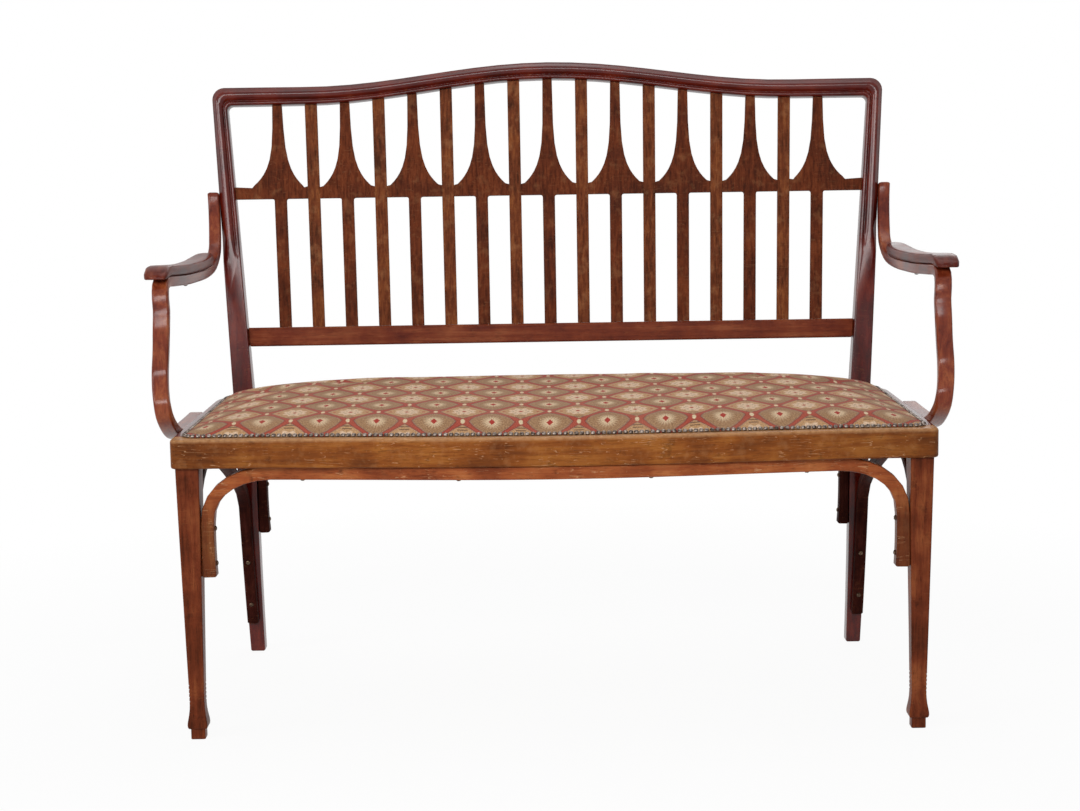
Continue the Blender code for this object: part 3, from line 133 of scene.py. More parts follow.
# The front rail and its arch are rubbed through the stain to a golden brown. Its ends, and the arch
# where it runs down the legs, are painted darker as shade: fall is an axis, two places and a share.
railLook = {
    "dark": "633314", "mid": "82461A", "light": "9D6029", "bare": "C99A70", "rubbed": "B4855A",
    "figure": (7, 210), "pores": (1.3, 16), "fleck": (1.5, 2.6), "figureShare": 0.8,
    "wear": 0.20, "edgeWear": 0.75, "edgeDark": 0.85, "scratch": 0.45, "smudge": 0.85, "scuff": 0.16,
    "roughness": (0.36, 0.50), "gloss": 0.06, "coat": 0.10, "sheenTint": "F4E6DC",
    "fall": ("X", 0.30, 0.56, 0.74),
}
archLook = dict(railLook, dark="74361C", mid="944C28", light="AE683A", fall=("Z", 0.375, 0.320, 0.46),
                scuff=0.06)
# The slats have the same stain under a thin film that has dulled: brown, streaked, with pale scuffs.
slatLook = {
    "dark": "43200F", "mid": "69351E", "light": "844C2A", "bare": "B98A62", "rubbed": "9C6C48",
    "figure": (4, 90), "pores": (1.2, 10), "fleck": (1.6, 4), "figureShare": 1.3,
    "wear": 0.40, "edgeWear": 0.55, "edgeDark": 0.55, "scratch": 0.10, "smudge": 0.6, "scuff": 0.32,
    "roughness": (0.44, 0.58), "gloss": 0.05, "coat": 0.0, "sheenTint": "F0E0DC",
}
fretLook = dict(slatLook, dark="3E1A0D", mid="5B2A17", light="733A21", scuff=0.22)
# The corner blocks are sawn beech that was never stained: pale, dry and dull.
blockLook = {
    "dark": "8A6A45", "mid": "A98158", "light": "BE9A6E", "bare": "CDB084", "rubbed": "CDB084",
    "figure": (6, 120), "pores": (1.2, 9), "fleck": (2.2, 6), "figureShare": 1.0,
    "wear": 0.3, "edgeWear": 0.2, "edgeDark": 1.0, "scratch": 0.0, "smudge": 0.2, "scuff": 0.1,
    "roughness": (0.6, 0.75), "gloss": 0.3, "coat": 0.0, "sheenTint": "FFFFFF",
}

# What every wood shares. Sizes of the patches in mm; a pair is where a mark starts and where it is
# full, in the noise or the lean of the surface that draws it; a tone is what is left of the light.
woodMarks = {
    "cloudWide": 60, "spotWide": 22, "rubWide": 9, "edgeWide": 2.2, "poreDeep": 0.3,
    "stain": (0.36, 0.50, 0.64), "pore": (0.34, 0.46), "poreTone": 0.66,
    "smudge": (0.60, 0.74), "smudgeDepth": 0.6, "edge": (0.985, 0.84), "scuff": (0.47, 0.33),
    "rub": (0.54, 0.66), "chip": (0.72, 0.75), "chipPatch": (0.46, 0.60),
    "scratchLong": 46, "scratchWide": 5, "scratchTurn": (0.5, 0.75, 0.3), "scratchThin": 0.012,
    "scratchPatch": (0.52, 0.58), "topPatch": (0.36, 0.60), "topLeast": 0.45,
    "wornRough": 0.25, "coatRough": 0.16,
}


def makeWood(name, look, along="Z", turn=None, topWearAndHighlight=None):
    # along is the axis of the grain. turn says where a bent piece's grain turns: the axis that
    # it turns to, the axis that the place is read on, and the stops (place, share turned).
    # The pores are drawn about three times as coarse as beech has them, so that they show.
    marks = woodMarks
    material = newMaterial(name)
    coords = addNode(material, "TexCoord")
    place = addNode(material, "SeparateXYZ", {0: (coords, "Object")})
    if turn:
        axis, read, stops = turn
        low, high = stops[0][0], stops[-1][0]
        scaled = addNode(material, "MapRange", {"Value": (place, "XYZ".index(read)), "From Min": low,
                                                "From Max": high})
        turned = setRamp(addNode(material, "ValToRGB", {0: (scaled, 0)}),
                         [((at - low) / (high - low), share) for at, share in stops])

    grain = {}
    for part in ("figure", "pores", "fleck"):
        wide, long = look[part]
        ways = []
        for way in [along] + ([axis] if turn else []):
            scale = [1 / (wide * mm)] * 3
            scale["XYZ".index(way)] = 1 / (long * mm)
            laid = addNode(material, "Mapping", {"Vector": (coords, "Object"), "Scale": scale})
            ways.append(addNode(material, "TexNoise", {"Vector": (laid, 0), "Scale": 1.0, "Detail": 4.0,
                                                       "Roughness": 0.55, "Distortion": 0.3}))
        grain[part] = (ways[0], 0)
        if turn:
            both = addNode(material, "Mix", {0: (turned, 0), 2: (ways[0], 0), 3: (ways[1], 0)},
                           data_type="FLOAT")
            grain[part] = (both, 0)
    cloud = addNode(material, "TexNoise", {
        "Vector": (coords, "Object"), "Scale": 1 / (marks["cloudWide"] * mm), "Detail": 3.0})
    spots = addNode(material, "TexNoise", {
        "Vector": (coords, "Object"), "Scale": 1 / (marks["spotWide"] * mm), "Detail": 4.0,
        "Roughness": 0.65})

    # stain: dark and light streaks, slower patches where it took unevenly, dark pores and smudges
    streak = addNode(material, "Math", {0: grain["figure"], 1: look["figureShare"]}, operation="MULTIPLY")
    blend = addNode(material, "Math", {0: (streak, 0), 1: (cloud, 0)}, operation="ADD")
    level = addNode(material, "Math", {0: (blend, 0), 1: 1 / (1 + look["figureShare"])},
                    operation="MULTIPLY")
    stain = setRamp(addNode(material, "ValToRGB", {0: (level, 0)}),
                    list(zip(marks["stain"], (look["dark"], look["mid"], look["light"]))))
    pore = addNode(material, "MapRange", {
        "Value": grain["pores"], "From Min": marks["pore"][0], "From Max": marks["pore"][1],
        "To Min": marks["poreTone"], "To Max": 1.0})
    smudge = addNode(material, "MapRange", {
        "Value": (spots, 0), "From Min": marks["smudge"][0], "From Max": marks["smudge"][1],
        "To Min": 1.0, "To Max": 1.0 - marks["smudgeDepth"] * look["smudge"]})
    shade = addNode(material, "Math", {0: (pore, 0), 1: (smudge, 0)}, operation="MULTIPLY")
    if "fall" in look:  # painted shade: darker from one place to another, on both sides of the middle
        axisName, clear, deep, share = look["fall"]
        away = addNode(material, "Math", {0: (place, "XYZ".index(axisName))}, operation="ABSOLUTE")
        fall = addNode(material, "MapRange", {"Value": (away, 0), "From Min": clear, "From Max": deep,
                                              "To Min": 1.0, "To Max": share})
        shade = addNode(material, "Math", {0: (shade, 0), 1: (fall, 0)}, operation="MULTIPLY")

    # edges, found by rounding the surface in the shader: dark where polish gathers and as painted shade of
    # the rounded edge, bare where hands rub
    rounded = addNode(material, "Bevel", {"Radius": marks["edgeWide"] * mm}, samples=4)
    geometry = addNode(material, "NewGeometry")
    lean = addNode(material, "VectorMath", {0: (rounded, 0), 1: (geometry, "Normal")},
                   operation="DOT_PRODUCT")
    edge = addNode(material, "MapRange", {
        "Value": (lean, "Value"), "From Min": marks["edge"][0], "From Max": marks["edge"][1]})
    edgeShade = addNode(material, "MapRange", {"Value": (edge, 0), "To Min": 1.0,
                                               "To Max": look["edgeDark"]})
    allShade = addNode(material, "Math", {0: (shade, 0), 1: (edgeShade, 0)}, operation="MULTIPLY")
    grey = addNode(material, "CombineColor", {0: (allShade, 0), 1: (allShade, 0), 2: (allShade, 0)})
    ground = addNode(material, "Mix", {0: 1.0, 6: (stain, 0), 7: (grey, 0)}, data_type="RGBA",
                     blend_type="MULTIPLY")

    # scuffs: dull paler patches
    scuff = addNode(material, "MapRange", {
        "Value": (spots, 0), "From Min": marks["scuff"][0], "From Max": marks["scuff"][1],
        "To Min": 0.0, "To Max": look["scuff"]})
    ground = addNode(material, "Mix", {0: (scuff, 0), 6: (ground, 2), 7: toLinear(look["rubbed"])},
                     data_type="RGBA")

    # bare wood: along the edges, in chips along the grain and in thin scratches
    rub = addNode(material, "TexNoise", {
        "Vector": (coords, "Object"), "Scale": 1 / (marks["rubWide"] * mm), "Detail": 5.0,
        "Roughness": 0.7})
    rubMask = addNode(material, "MapRange", {
        "Value": (rub, 0), "From Min": marks["rub"][0], "From Max": marks["rub"][1]})
    edgeRub = addNode(material, "Math", {0: (edge, 0), 1: (rubMask, 0)}, operation="MULTIPLY")
    worn = addNode(material, "Math", {0: (edgeRub, 0), 1: look["edgeWear"]}, operation="MULTIPLY")
    chip = addNode(material, "MapRange", {
        "Value": grain["fleck"], "From Min": marks["chip"][0], "From Max": marks["chip"][1]})
    chipPatch = addNode(material, "MapRange", {
        "Value": (cloud, 0), "From Min": marks["chipPatch"][0], "From Max": marks["chipPatch"][1]})
    chips = addNode(material, "Math", {0: (chip, 0), 1: (chipPatch, 0)}, operation="MULTIPLY")
    chipShare = addNode(material, "Math", {0: (chips, 0), 1: look["wear"]}, operation="MULTIPLY")
    worn = addNode(material, "Math", {0: (worn, 0), 1: (chipShare, 0)}, operation="MAXIMUM")
    if look["scratch"]:
        # slanting, a hair wide, where the film has dulled
        lengthwise, across = 1 / (marks["scratchLong"] * mm), 1 / (marks["scratchWide"] * mm)
        slant = addNode(material, "Mapping", {
            "Vector": (coords, "Object"), "Rotation": marks["scratchTurn"],
            "Scale": (lengthwise, lengthwise, across)})
        line = addNode(material, "TexNoise", {"Vector": (slant, 0), "Scale": 1.0, "Detail": 1.0})
        thin = addNode(material, "Math", {0: (line, 0), 1: 0.5, 2: marks["scratchThin"]},
                       operation="COMPARE")
        few = addNode(material, "MapRange", {"Value": (spots, 0), "From Min": marks["scratchPatch"][0],
                                             "From Max": marks["scratchPatch"][1]})
        hair = addNode(material, "Math", {0: (thin, 0), 1: (few, 0)}, operation="MULTIPLY")
        hairShare = addNode(material, "Math", {0: (hair, 0), 1: look["scratch"]}, operation="MULTIPLY")
        worn = addNode(material, "Math", {0: (worn, 0), 1: (hairShare, 0)}, operation="MAXIMUM")
    if topWearAndHighlight:
        # rubbed pale all along, from one height to another: partly wear, partly a painted highlight on the
        # rounded top edge
        upper = addNode(material, "MapRange", {"Value": (place, 2), "From Min": topWearAndHighlight[0],
                                               "From Max": topWearAndHighlight[1]})
        patchy = addNode(material, "MapRange", {
            "Value": (rub, 0), "From Min": marks["topPatch"][0], "From Max": marks["topPatch"][1],
            "To Min": marks["topLeast"], "To Max": 1.0})
        upperShare = addNode(material, "Math", {0: (upper, 0), 1: (patchy, 0)}, operation="MULTIPLY")
        ground = addNode(material, "Mix", {0: (upperShare, 0), 6: (ground, 2), 7: toLinear(look["rubbed"])},
                         data_type="RGBA")
    colour = addNode(material, "Mix", {0: (worn, 0), 6: (ground, 2), 7: toLinear(look["bare"])},
                     data_type="RGBA")

    rough = addNode(material, "MapRange", {"Value": (cloud, 0), "From Min": 0.35, "From Max": 0.65,
                                           "To Min": look["roughness"][0], "To Max": look["roughness"][1]})
    roughWorn = addNode(material, "Math", {0: (worn, 0), 1: marks["wornRough"], 2: (rough, 0)},
                        operation="MULTIPLY_ADD")
    relief = addNode(material, "Bump", {"Height": grain["pores"], "Strength": 0.12,
                                        "Distance": marks["poreDeep"] * mm})
    shader = addNode(material, "BsdfPrincipled", {
        "Base Color": (colour, 2), "Roughness": (roughWorn, 0), "Normal": (relief, 0), "IOR": 1.5,
        "Specular IOR Level": look["gloss"], "Specular Tint": toLinear(look["sheenTint"]),
        "Coat Weight": look["coat"], "Coat Roughness": marks["coatRough"], "Coat IOR": 1.5})
    addNode(material, "OutputMaterial", {"Surface": (shader, 0)})
    return material


# A bent piece is made of short flat facets: a merged copy of it is shaded as one smooth surface.
# An edge sharper than its kind's angle here stays crisp. flatWeight is how far the wide faces lead
# the shading.
smoothing = {"bent": 34.0, "cover": 50.0, "nail": 50.0, "screw": 40.0, "flatWeight": 60}


def smoothCopy(nodeName, material, nose=None, joint=None):
    deselectAll()
    copy = nodes[nodeName].copy()
    copy.data = nodes[nodeName].data.copy()
    copy.name = "polished_" + nodeName
    bpy.context.scene.collection.objects.link(copy)
    copy.hide_render = False
    makeActive(copy)
    bpy.ops.object.mode_set(mode="EDIT")
    bpy.ops.mesh.select_all(action="SELECT")
    bpy.ops.mesh.remove_doubles(threshold=weld)
    bpy.ops.object.mode_set(mode="OBJECT")
    if nose:
        # the board's front end swells forward and down, over the bend of the arm below it
        front = min(vertex.co.y for vertex in copy.data.vertices)
        ends = [vertex for vertex in copy.data.vertices if vertex.co.y < front + nose["run"]]
        top = max(vertex.co.z for vertex in ends)
        for vertex in ends:
            share = 1 - (vertex.co.y - front) / nose["run"]
            fall = min(max((top - vertex.co.z) / nose["thick"], 0.0), 1.0)
            vertex.co.y -= nose["forward"] * share
            vertex.co.z -= nose["drop"] * share * fall
    if joint:
        # a fret's band is glued tight to the slats beside it, and its openings end in a round
        neck = [vertex.co.x for vertex in copy.data.vertices if vertex.co.z > joint["neckAbove"]]
        middle = sum(neck) / len(neck)
        for vertex in copy.data.vertices:
            out = vertex.co.x - middle
            if joint["from"] < abs(out) < joint["to"]:
                vertex.co.x += math.copysign(joint["tight"], out)
                vertex.co.z -= joint["dip"] if vertex.co.z > joint["upperAbove"] else 0.0
    bpy.ops.object.shade_smooth_by_angle(angle=math.radians(smoothing["bent"]))
    applyModifier(copy, "WEIGHTED_NORMAL", keep_sharp=True, weight=smoothing["flatWeight"])
    copy.data.materials.clear()
    copy.data.materials.append(material)
    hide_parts(nodeName)
    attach(copy, "root")


# up an arm, the grain runs along the seat, then upright, along the seat again and upright at the post
armTurns = ((0.455, 1.0), (0.490, 0.0), (0.610, 0.0), (0.645, 1.0), (0.690, 1.0), (0.740, 0.0))
boardNose = {"run": 0.030, "forward": 0.006, "drop": 0.0045, "thick": 0.010}
# the rail's pale top band is partly wear and partly a painted highlight on its rounded edge
railTopWearAndHighlight = (railHigh.z - 6 * mm, railHigh.z - 1 * mm)
# node, look, axis of the grain, where the grain turns, height that is rubbed pale and painted with a
# highlight, shape of the end
bentPieces = (
    ("back_frame", frameLook, "Z", ("X", "Z", ((0.905, 0.0), (0.940, 1.0))), None, None),
    ("arm_left", armLook, "Z", ("Y", "Z", armTurns), None, None),
    ("seat_bent_rail", frameLook, "Y", ("X", "Y", ((0.125, 0.0), (0.165, 1.0))), None, None),
    ("rear_arch", underSeatShadeLook, "Z", ("X", "Z", ((0.320, 0.0), (0.370, 1.0))), None, None),
    ("side_arch_left", underSeatShadeLook, "Z", ("Y", "Z", ((0.290, 0.0), (0.350, 1.0))), None, None),
    ("front_arch", archLook, "Z", ("X", "Z", ((0.335, 0.0), (0.375, 1.0))), None, None),
    ("seat_front_rail", railLook, "X", None, railTopWearAndHighlight, None),
    ("armrest_left", boardLook, "Y", None, None, boardNose),
    ("front_leg_left", legLook, "Z", None, None, None),
)
for nodeName, look, along, turn, topWearAndHighlight, nose in bentPieces:
    polishName = "frenchPolishedBeech_" + nodeName.replace("_left", "")
    polish = makeWood(polishName, look, along, turn, topWearAndHighlight)
    smoothCopy(nodeName, polish, nose=nose)
    if nodeName.endswith("_left"):
        smoothCopy(nodeName.replace("_left", "_right"), polish, nose=nose)
print("settee: bent pieces polished")

lowerRailWood = makeWood("frenchPolishedBeechRail", lowerRailLook, "X")
slatWood = makeWood("dulledPolishBeechSlat", slatLook, "Z")
fretWood = makeWood("dulledPolishBeechFret", fretLook, "Z")
fretJoint = {"neckAbove": 0.88, "from": 0.0435, "to": 0.0490, "tight": 0.0004, "upperAbove": 0.795,
             "dip": 0.0017}
blockWood = makeWood("sawnBeechBlock", blockLook, "Z")
finishNode("back_lower_rail", lowerRailWood)
for nodeName in nodes:
    if nodeName.startswith("plain_slat"):
        finishNode(nodeName, slatWood)
    elif nodeName.startswith("fret_slat"):
        smoothCopy(nodeName, fretWood, joint=fretJoint)
    elif nodeName.startswith("corner_block"):
        finishNode(nodeName, blockWood)
print("settee: slats finished")


# The pad: a woven cover drawn tight over its stuffing and nailed down on the rails. Places are
# measured from the front rail's face at its ends; a rise is a share of the crown.
pad = {
    "halfWide": 0.5440, "front": 0.0190, "rear": 0.4965, "frontRound": 0.020, "rearRound": 0.045,
    "bow": 0.028, "bowHalfRun": 0.528, "edgeZ": 0.4572, "crown": 0.0354, "uneven": 0.0005,
    "frontRise": ((0.0, 0.0), (0.006, 0.13), (0.018, 0.33), (0.040, 0.42), (0.070, 0.49), (0.122, 0.60),
                  (0.174, 0.68), (0.226, 0.74), (0.278, 0.80), (0.330, 0.875), (0.382, 0.94), (0.434, 1.0)),
    "sideRise": ((0.0, 0.0), (0.003, 0.19), (0.0085, 0.305), (0.025, 0.44), (0.044, 0.56), (0.066, 0.67),
                 (0.1094, 0.80), (0.164, 0.90), (0.275, 0.97), (0.395, 1.0)),
    "rearRise": ((0.0, 0.0), (0.006, 0.32), (0.014, 0.58), (0.025, 0.83), (0.038, 0.97), (0.055, 1.0)),
    "frontBlend": 0.010, "sideBlend": 0.010, "rearBlend": 0.006, "cornerBlend": 0.004,
    "lumpWide": 0.05, "lumpEdge": 0.03, "lumpLayer": 3.1,
    "columns": 170, "rows": 76, "skirt": 0.0015,
}
railFace = railLow.y + pad["bow"]


def readTable(rows, at):
    for (a, low), (b, high) in zip(rows, rows[1:]):
        if at <= b:
            return low + (high - low) * max(at - a, 0.0) / (b - a)
    return rows[-1][1]


def smoothTable(rows, at, spread):  # read at five places round the point, so that no kink shows
    spread = min(spread, at / 2)
    return sum(readTable(rows, at + spread * k / 2) for k in (-2, -1, 0, 1, 2)) / 5


def bowAt(x):
    if abs(x) >= pad["bowHalfRun"]:
        return 0.0
    return pad["bow"] * 0.5 * (1 + math.cos(math.pi * x / pad["bowHalfRun"]))


def padHeight(x, y, inset):
    front = smoothTable(pad["frontRise"], y - pad["front"], pad["frontBlend"])
    rear = smoothTable(pad["rearRise"], pad["rear"] - y, pad["rearBlend"])
    side = smoothTable(pad["sideRise"], pad["halfWide"] - abs(x), pad["sideBlend"])
    corner = smoothTable(pad["rearRise"], inset, pad["cornerBlend"])
    return pad["crown"] * min(front * rear * side, corner)


def padPoint(across, deep):
    # Two shares from 0 to 1, turned into a place inside the cover's outline with its round corners:
    # x, y before the front is bowed, y after it, and how far in from the edge it lies.
    x = pad["halfWide"] * (2 * across - 1)
    y = pad["front"] + (pad["rear"] - pad["front"]) * deep
    inset = min(pad["halfWide"] - abs(x), y - pad["front"], pad["rear"] - y)
    radius = pad["frontRound"] if deep < 0.5 else pad["rearRound"]
    cornerX = pad["halfWide"] - radius
    cornerY = pad["front"] + radius if deep < 0.5 else pad["rear"] - radius
    outX = abs(x) - cornerX
    outY = cornerY - y if deep < 0.5 else y - cornerY
    if outX > 0 and outY > 0:
        reach = max(outX, outY)
        length = math.hypot(outX, outY)
        x = math.copysign(cornerX + outX * reach / length, x)
        y = cornerY - outY * reach / length if deep < 0.5 else cornerY + outY * reach / length
        inset = radius - reach
    bowed = y - bowAt(x) * (pad["rear"] - y) / (pad["rear"] - pad["front"])
    return x, y, bowed, max(inset, 0.0)


def makeCover():
    deselectAll()
    bpy.ops.mesh.primitive_grid_add(x_subdivisions=pad["columns"], y_subdivisions=pad["rows"], size=2.0)
    cover = bpy.context.active_object
    cover.name = "woven_seat_cover"
    for vertex in cover.data.vertices:
        x, y, bowed, inset = padPoint((vertex.co.x + 1) / 2, (vertex.co.y + 1) / 2)
        rise = padHeight(x, y, inset)
        lump = noise.noise(Vector((x / pad["lumpWide"], y / pad["lumpWide"], pad["lumpLayer"])))
        lump *= pad["uneven"] * min(inset / pad["lumpEdge"], 1.0)
        vertex.co = (x, bowed + railFace, pad["edgeZ"] + rise + lump)
    return cover


cover = makeCover()

# The stuffing pushes the cloth up between its nailed edges. A point may move by the cap and no more.
cloth = {"frames": 20, "pressure": 4.0, "tension": 40.0, "shear": 20.0, "bending": 3.0, "cap": 0.0035}


def swellCover(cover):
    edgeCount = {}
    for polygon in cover.data.polygons:
        for key in polygon.edge_keys:
            edgeCount[key] = edgeCount.get(key, 0) + 1
    nailed = sorted({index for key, count in edgeCount.items() if count == 1 for index in key})
    cover.vertex_groups.new(name="nailed").add(nailed, 1.0, "REPLACE")
    before = [vertex.co.copy() for vertex in cover.data.vertices]
    makeActive(cover)
    modifier = cover.modifiers.new("Swell", "CLOTH")
    settings = modifier.settings
    settings.effector_weights.gravity = 0.0
    settings.use_pressure = True
    settings.uniform_pressure_force = cloth["pressure"]
    settings.tension_stiffness = cloth["tension"]
    settings.compression_stiffness = cloth["tension"]
    settings.shear_stiffness = cloth["shear"]
    settings.bending_stiffness = cloth["bending"]
    settings.vertex_group_mass = "nailed"
    modifier.point_cache.frame_start = 1
    modifier.point_cache.frame_end = cloth["frames"]
    for step in range(1, cloth["frames"] + 1):
        bpy.context.scene.frame_set(step)
    bpy.ops.object.modifier_apply(modifier=modifier.name)
    bpy.context.scene.frame_set(1)
    furthest = 0.0
    for vertex, start in zip(cover.data.vertices, before):
        move = vertex.co - start
        furthest = max(furthest, move.length)
        if move.length > cloth["cap"]:
            vertex.co = start + move * (cloth["cap"] / move.length)
    applyModifier(cover, "SMOOTH", factor=0.5, iterations=3, vertex_group="nailed",
                  invert_vertex_group=True)
    print("settee: cloth swelled, furthest move", round(furthest * 1000, 2), "mm")


swellCover(cover)
applyModifier(cover, "SUBSURF", levels=1, render_levels=1)

# the cloth's edge turns down to the rail, and the pad is closed below
makeActive(cover)
bpy.ops.object.mode_set(mode="EDIT")
bpy.ops.mesh.select_mode(type="EDGE")
bpy.ops.mesh.select_all(action="DESELECT")
bpy.ops.mesh.select_non_manifold(extend=False)
bpy.ops.mesh.extrude_region_move(TRANSFORM_OT_translate={"value": (0, 0, -pad["skirt"])})
bpy.ops.mesh.edge_face_add()
bpy.ops.mesh.select_all(action="SELECT")
bpy.ops.mesh.normals_make_consistent(inside=False)
bpy.ops.object.mode_set(mode="OBJECT")
bpy.ops.object.shade_smooth_by_angle(angle=math.radians(smoothing["cover"]))

# The woven pattern: a diamond lattice. Its steps are measured along the cloth, over the crown.
# Towards the ends the rows are drawn back a little, as the cloth was pulled on.
weave = {"wide": 0.0850, "deep": 0.1066, "firstRow": 0.0335, "drawnBack": 0.0120, "middle": -0.006,
         "steps": 400}


def layWeave(cover):
    span = pad["rear"] - pad["front"]
    arcs, length, before = [0.0], 0.0, 0.0
    for i in range(1, weave["steps"] + 1):
        y = pad["front"] + span * i / weave["steps"]
        rise = padHeight(0.0, y, min(y - pad["front"], pad["rear"] - y))
        length += math.hypot(span / weave["steps"], rise - before)
        before = rise
        arcs.append(length)
    layer = cover.data.uv_layers.active or cover.data.uv_layers.new(name="weave")
    for loop in cover.data.loops:
        co = cover.data.vertices[loop.vertex_index].co
        bow = bowAt(co.x)
        y = (co.y - railFace + bow * pad["rear"] / span) / (1 + bow / span) - pad["front"]
        at = min(max(y / span, 0.0), 1.0) * weave["steps"]
        low = min(int(at), weave["steps"] - 1)
        along = arcs[low] + (arcs[low + 1] - arcs[low]) * (at - low)
        along += bow * y / span - weave["firstRow"] - weave["drawnBack"] * math.sqrt(1 - bow / pad["bow"])
        layer.data[loop.index].uv = (co.x - weave["middle"], along)


layWeave(cover)
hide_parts("seat_cover", "seat_stuffing")
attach(cover, "root")
print("settee: cover drawn over its stuffing")

# Wool moquette, a flat-woven and cut-pile cloth: dull, a little soft sheen where it turns away, and
# a pattern whose edges step from thread to thread. Real threads are about 0.8 mm apart; they are
# drawn 1.6 mm apart, so that they show. A drift is how wide its waves are and how far they move the
# pattern, in mm.
moquetteLook = {
    "red": "A6493A", "redDark": "6C2E28", "olive": "886648", "oliveLight": "B08A66", "glow": "D6BC9A",
    "fringe": "746468", "beige": "AC8054", "beigeLight": "C8A078", "petal": "DABC9E", "heart": "A42824",
    "ink": "50382E", "dot": "DCC8A4", "faded": "B8967A", "thread": 1.6, "speck": 3.0,
    "drifts": ((2.2, 2.0), (60.0, 5.0)), "threadTone": (0.68, 1.22), "fadeWide": 90, "fade": 0.15,
    "threadDeep": 0.5,
}
# Each step has a name, an operation and what it reads. A cell is one diamond; wide and tall run
# from -1 to 1 across and along it. STEP goes from 0 to 1 between two values.
moquetteSteps = (
    ("across", "DIVIDE", "x", weave["wide"]), ("deep", "DIVIDE", "y", weave["deep"]),
    ("slantA", "ADD", "across", "deep"), ("slantB", "SUBTRACT", "across", "deep"),
    ("wholeA", "ROUND", "slantA"), ("wholeB", "ROUND", "slantB"),
    ("partA", "SUBTRACT", "slantA", "wholeA"), ("partB", "SUBTRACT", "slantB", "wholeB"),
    ("wide", "ADD", "partA", "partB"), ("tall", "SUBTRACT", "partA", "partB"),
    ("absWide", "ABSOLUTE", "wide"), ("absTall", "ABSOLUTE", "tall"),
    ("diamond", "ADD", "absWide", "absTall"),
    ("total", "ADD", "wholeA", "wholeB"), ("size", "ABSOLUTE", "total"), ("half", "MULTIPLY", "size", 0.5),
    ("part", "FRACT", "half"), ("odd", "MULTIPLY", "part", 2.0),
    ("wide2", "POWER", "absWide", 2.0), ("tall2", "POWER", "absTall", 2.0),
    ("ring2", "ADD", "wide2", "tall2"), ("ring", "SQRT", "ring2"),
    ("angle", "ARCTAN2", "tall", "wide"), ("angle8", "MULTIPLY", "angle", 8.0),
    ("lobes", "COSINE", "angle8"),
    ("angle20", "MULTIPLY", "angle", 20.0), ("rays", "COSINE", "angle20"),
    # the medallion's edge: a rounded diamond, lobed in the olive rows and pointed in the beige ones
    ("bulge", "MULTIPLY_ADD", "lobes", 0.022, "ring"),
    ("oliveDiamond", "MULTIPLY", "diamond", 0.62),
    ("oliveRim", "MULTIPLY_ADD", "bulge", 0.38, "oliveDiamond"),
    ("oliveOut", "SUBTRACT", "oliveRim", 0.79),
    ("beigeDiamond", "MULTIPLY", "diamond", 0.78),
    ("beigeRim", "MULTIPLY_ADD", "ring", 0.22, "beigeDiamond"),
    ("beigeOut", "SUBTRACT", "beigeRim", 0.835),
    ("outGap", "SUBTRACT", "beigeOut", "oliveOut"), ("out", "MULTIPLY_ADD", "outGap", "odd", "oliveOut"),
    ("band", "STEP", "out", -0.008, 0.008),
    ("bandLine", "STEP", "out", 0.050, 0.030), ("line", "MULTIPLY", "bandLine", 0.55),
    ("nearEdge", "STEP", "out", -0.060, -0.020), ("fringe", "MULTIPLY", "nearEdge", 0.50),
    # olive medallion: a red diamond in a pale glow with rays
    ("rayed", "MULTIPLY_ADD", "rays", 0.055, "ring"), ("glow", "STEP", "rayed", 0.38, 0.16),
    ("heartPlace", "MULTIPLY_ADD", "absWide", 0.40, "diamond"),
    ("oliveHeart", "STEP", "heartPlace", 0.175, 0.155),
    # beige medallion: a pale flower with small dark marks, and bars near its tips
    ("flowerEdge", "MULTIPLY_ADD", "lobes", 0.055, "ring"), ("flower", "STEP", "flowerEdge", 0.43, 0.37),
    ("seedPlace", "SUBTRACT", "ring", 0.25), ("seedOff", "ABSOLUTE", "seedPlace"),
    ("seedRing", "STEP", "seedOff", 0.045, 0.020), ("seedTurn", "STEP", "lobes", 0.2, 0.7),
    ("seeds", "MULTIPLY", "seedRing", "seedTurn"), ("seedShare", "MULTIPLY", "seeds", 0.5),
    ("beigeHeart", "STEP", "diamond", 0.10, 0.08),
    ("barPlace", "SUBTRACT", "absTall", 0.62), ("barOff", "ABSOLUTE", "barPlace"),
    ("barGap", "SUBTRACT", "barOff", 0.070), ("barThin", "ABSOLUTE", "barGap"),
    ("barLine", "STEP", "barThin", 0.034, 0.020), ("barEnd", "STEP", "absWide", 0.19, 0.16),
    ("bars", "MULTIPLY", "barLine", "barEnd"), ("barShare", "MULTIPLY", "bars", 0.8),
    ("berryPlace", "SUBTRACT", "absWide", 0.58), ("berryOff", "ABSOLUTE", "berryPlace"),
    ("berryWide", "STEP", "berryOff", 0.055, 0.040), ("berryTall", "STEP", "absTall", 0.075, 0.055),
    ("berries", "MULTIPLY", "berryWide", "berryTall"), ("berryShare", "MULTIPLY", "berries", 0.6),
    # a pale dot where two bands cross
    ("sideLeft", "SUBTRACT", 1.0, "absWide"), ("endLeft", "SUBTRACT", 1.0, "absTall"),
    ("side2", "POWER", "sideLeft", 2.0), ("end2", "POWER", "endLeft", 2.0),
    ("toSide", "MULTIPLY_ADD", "tall2", 0.35, "side2"), ("toEnd", "MULTIPLY_ADD", "end2", 0.35, "wide2"),
    ("near2", "MINIMUM", "toSide", "toEnd"), ("near", "SQRT", "near2"),
    ("dots", "STEP", "near", 0.085, 0.060),
)


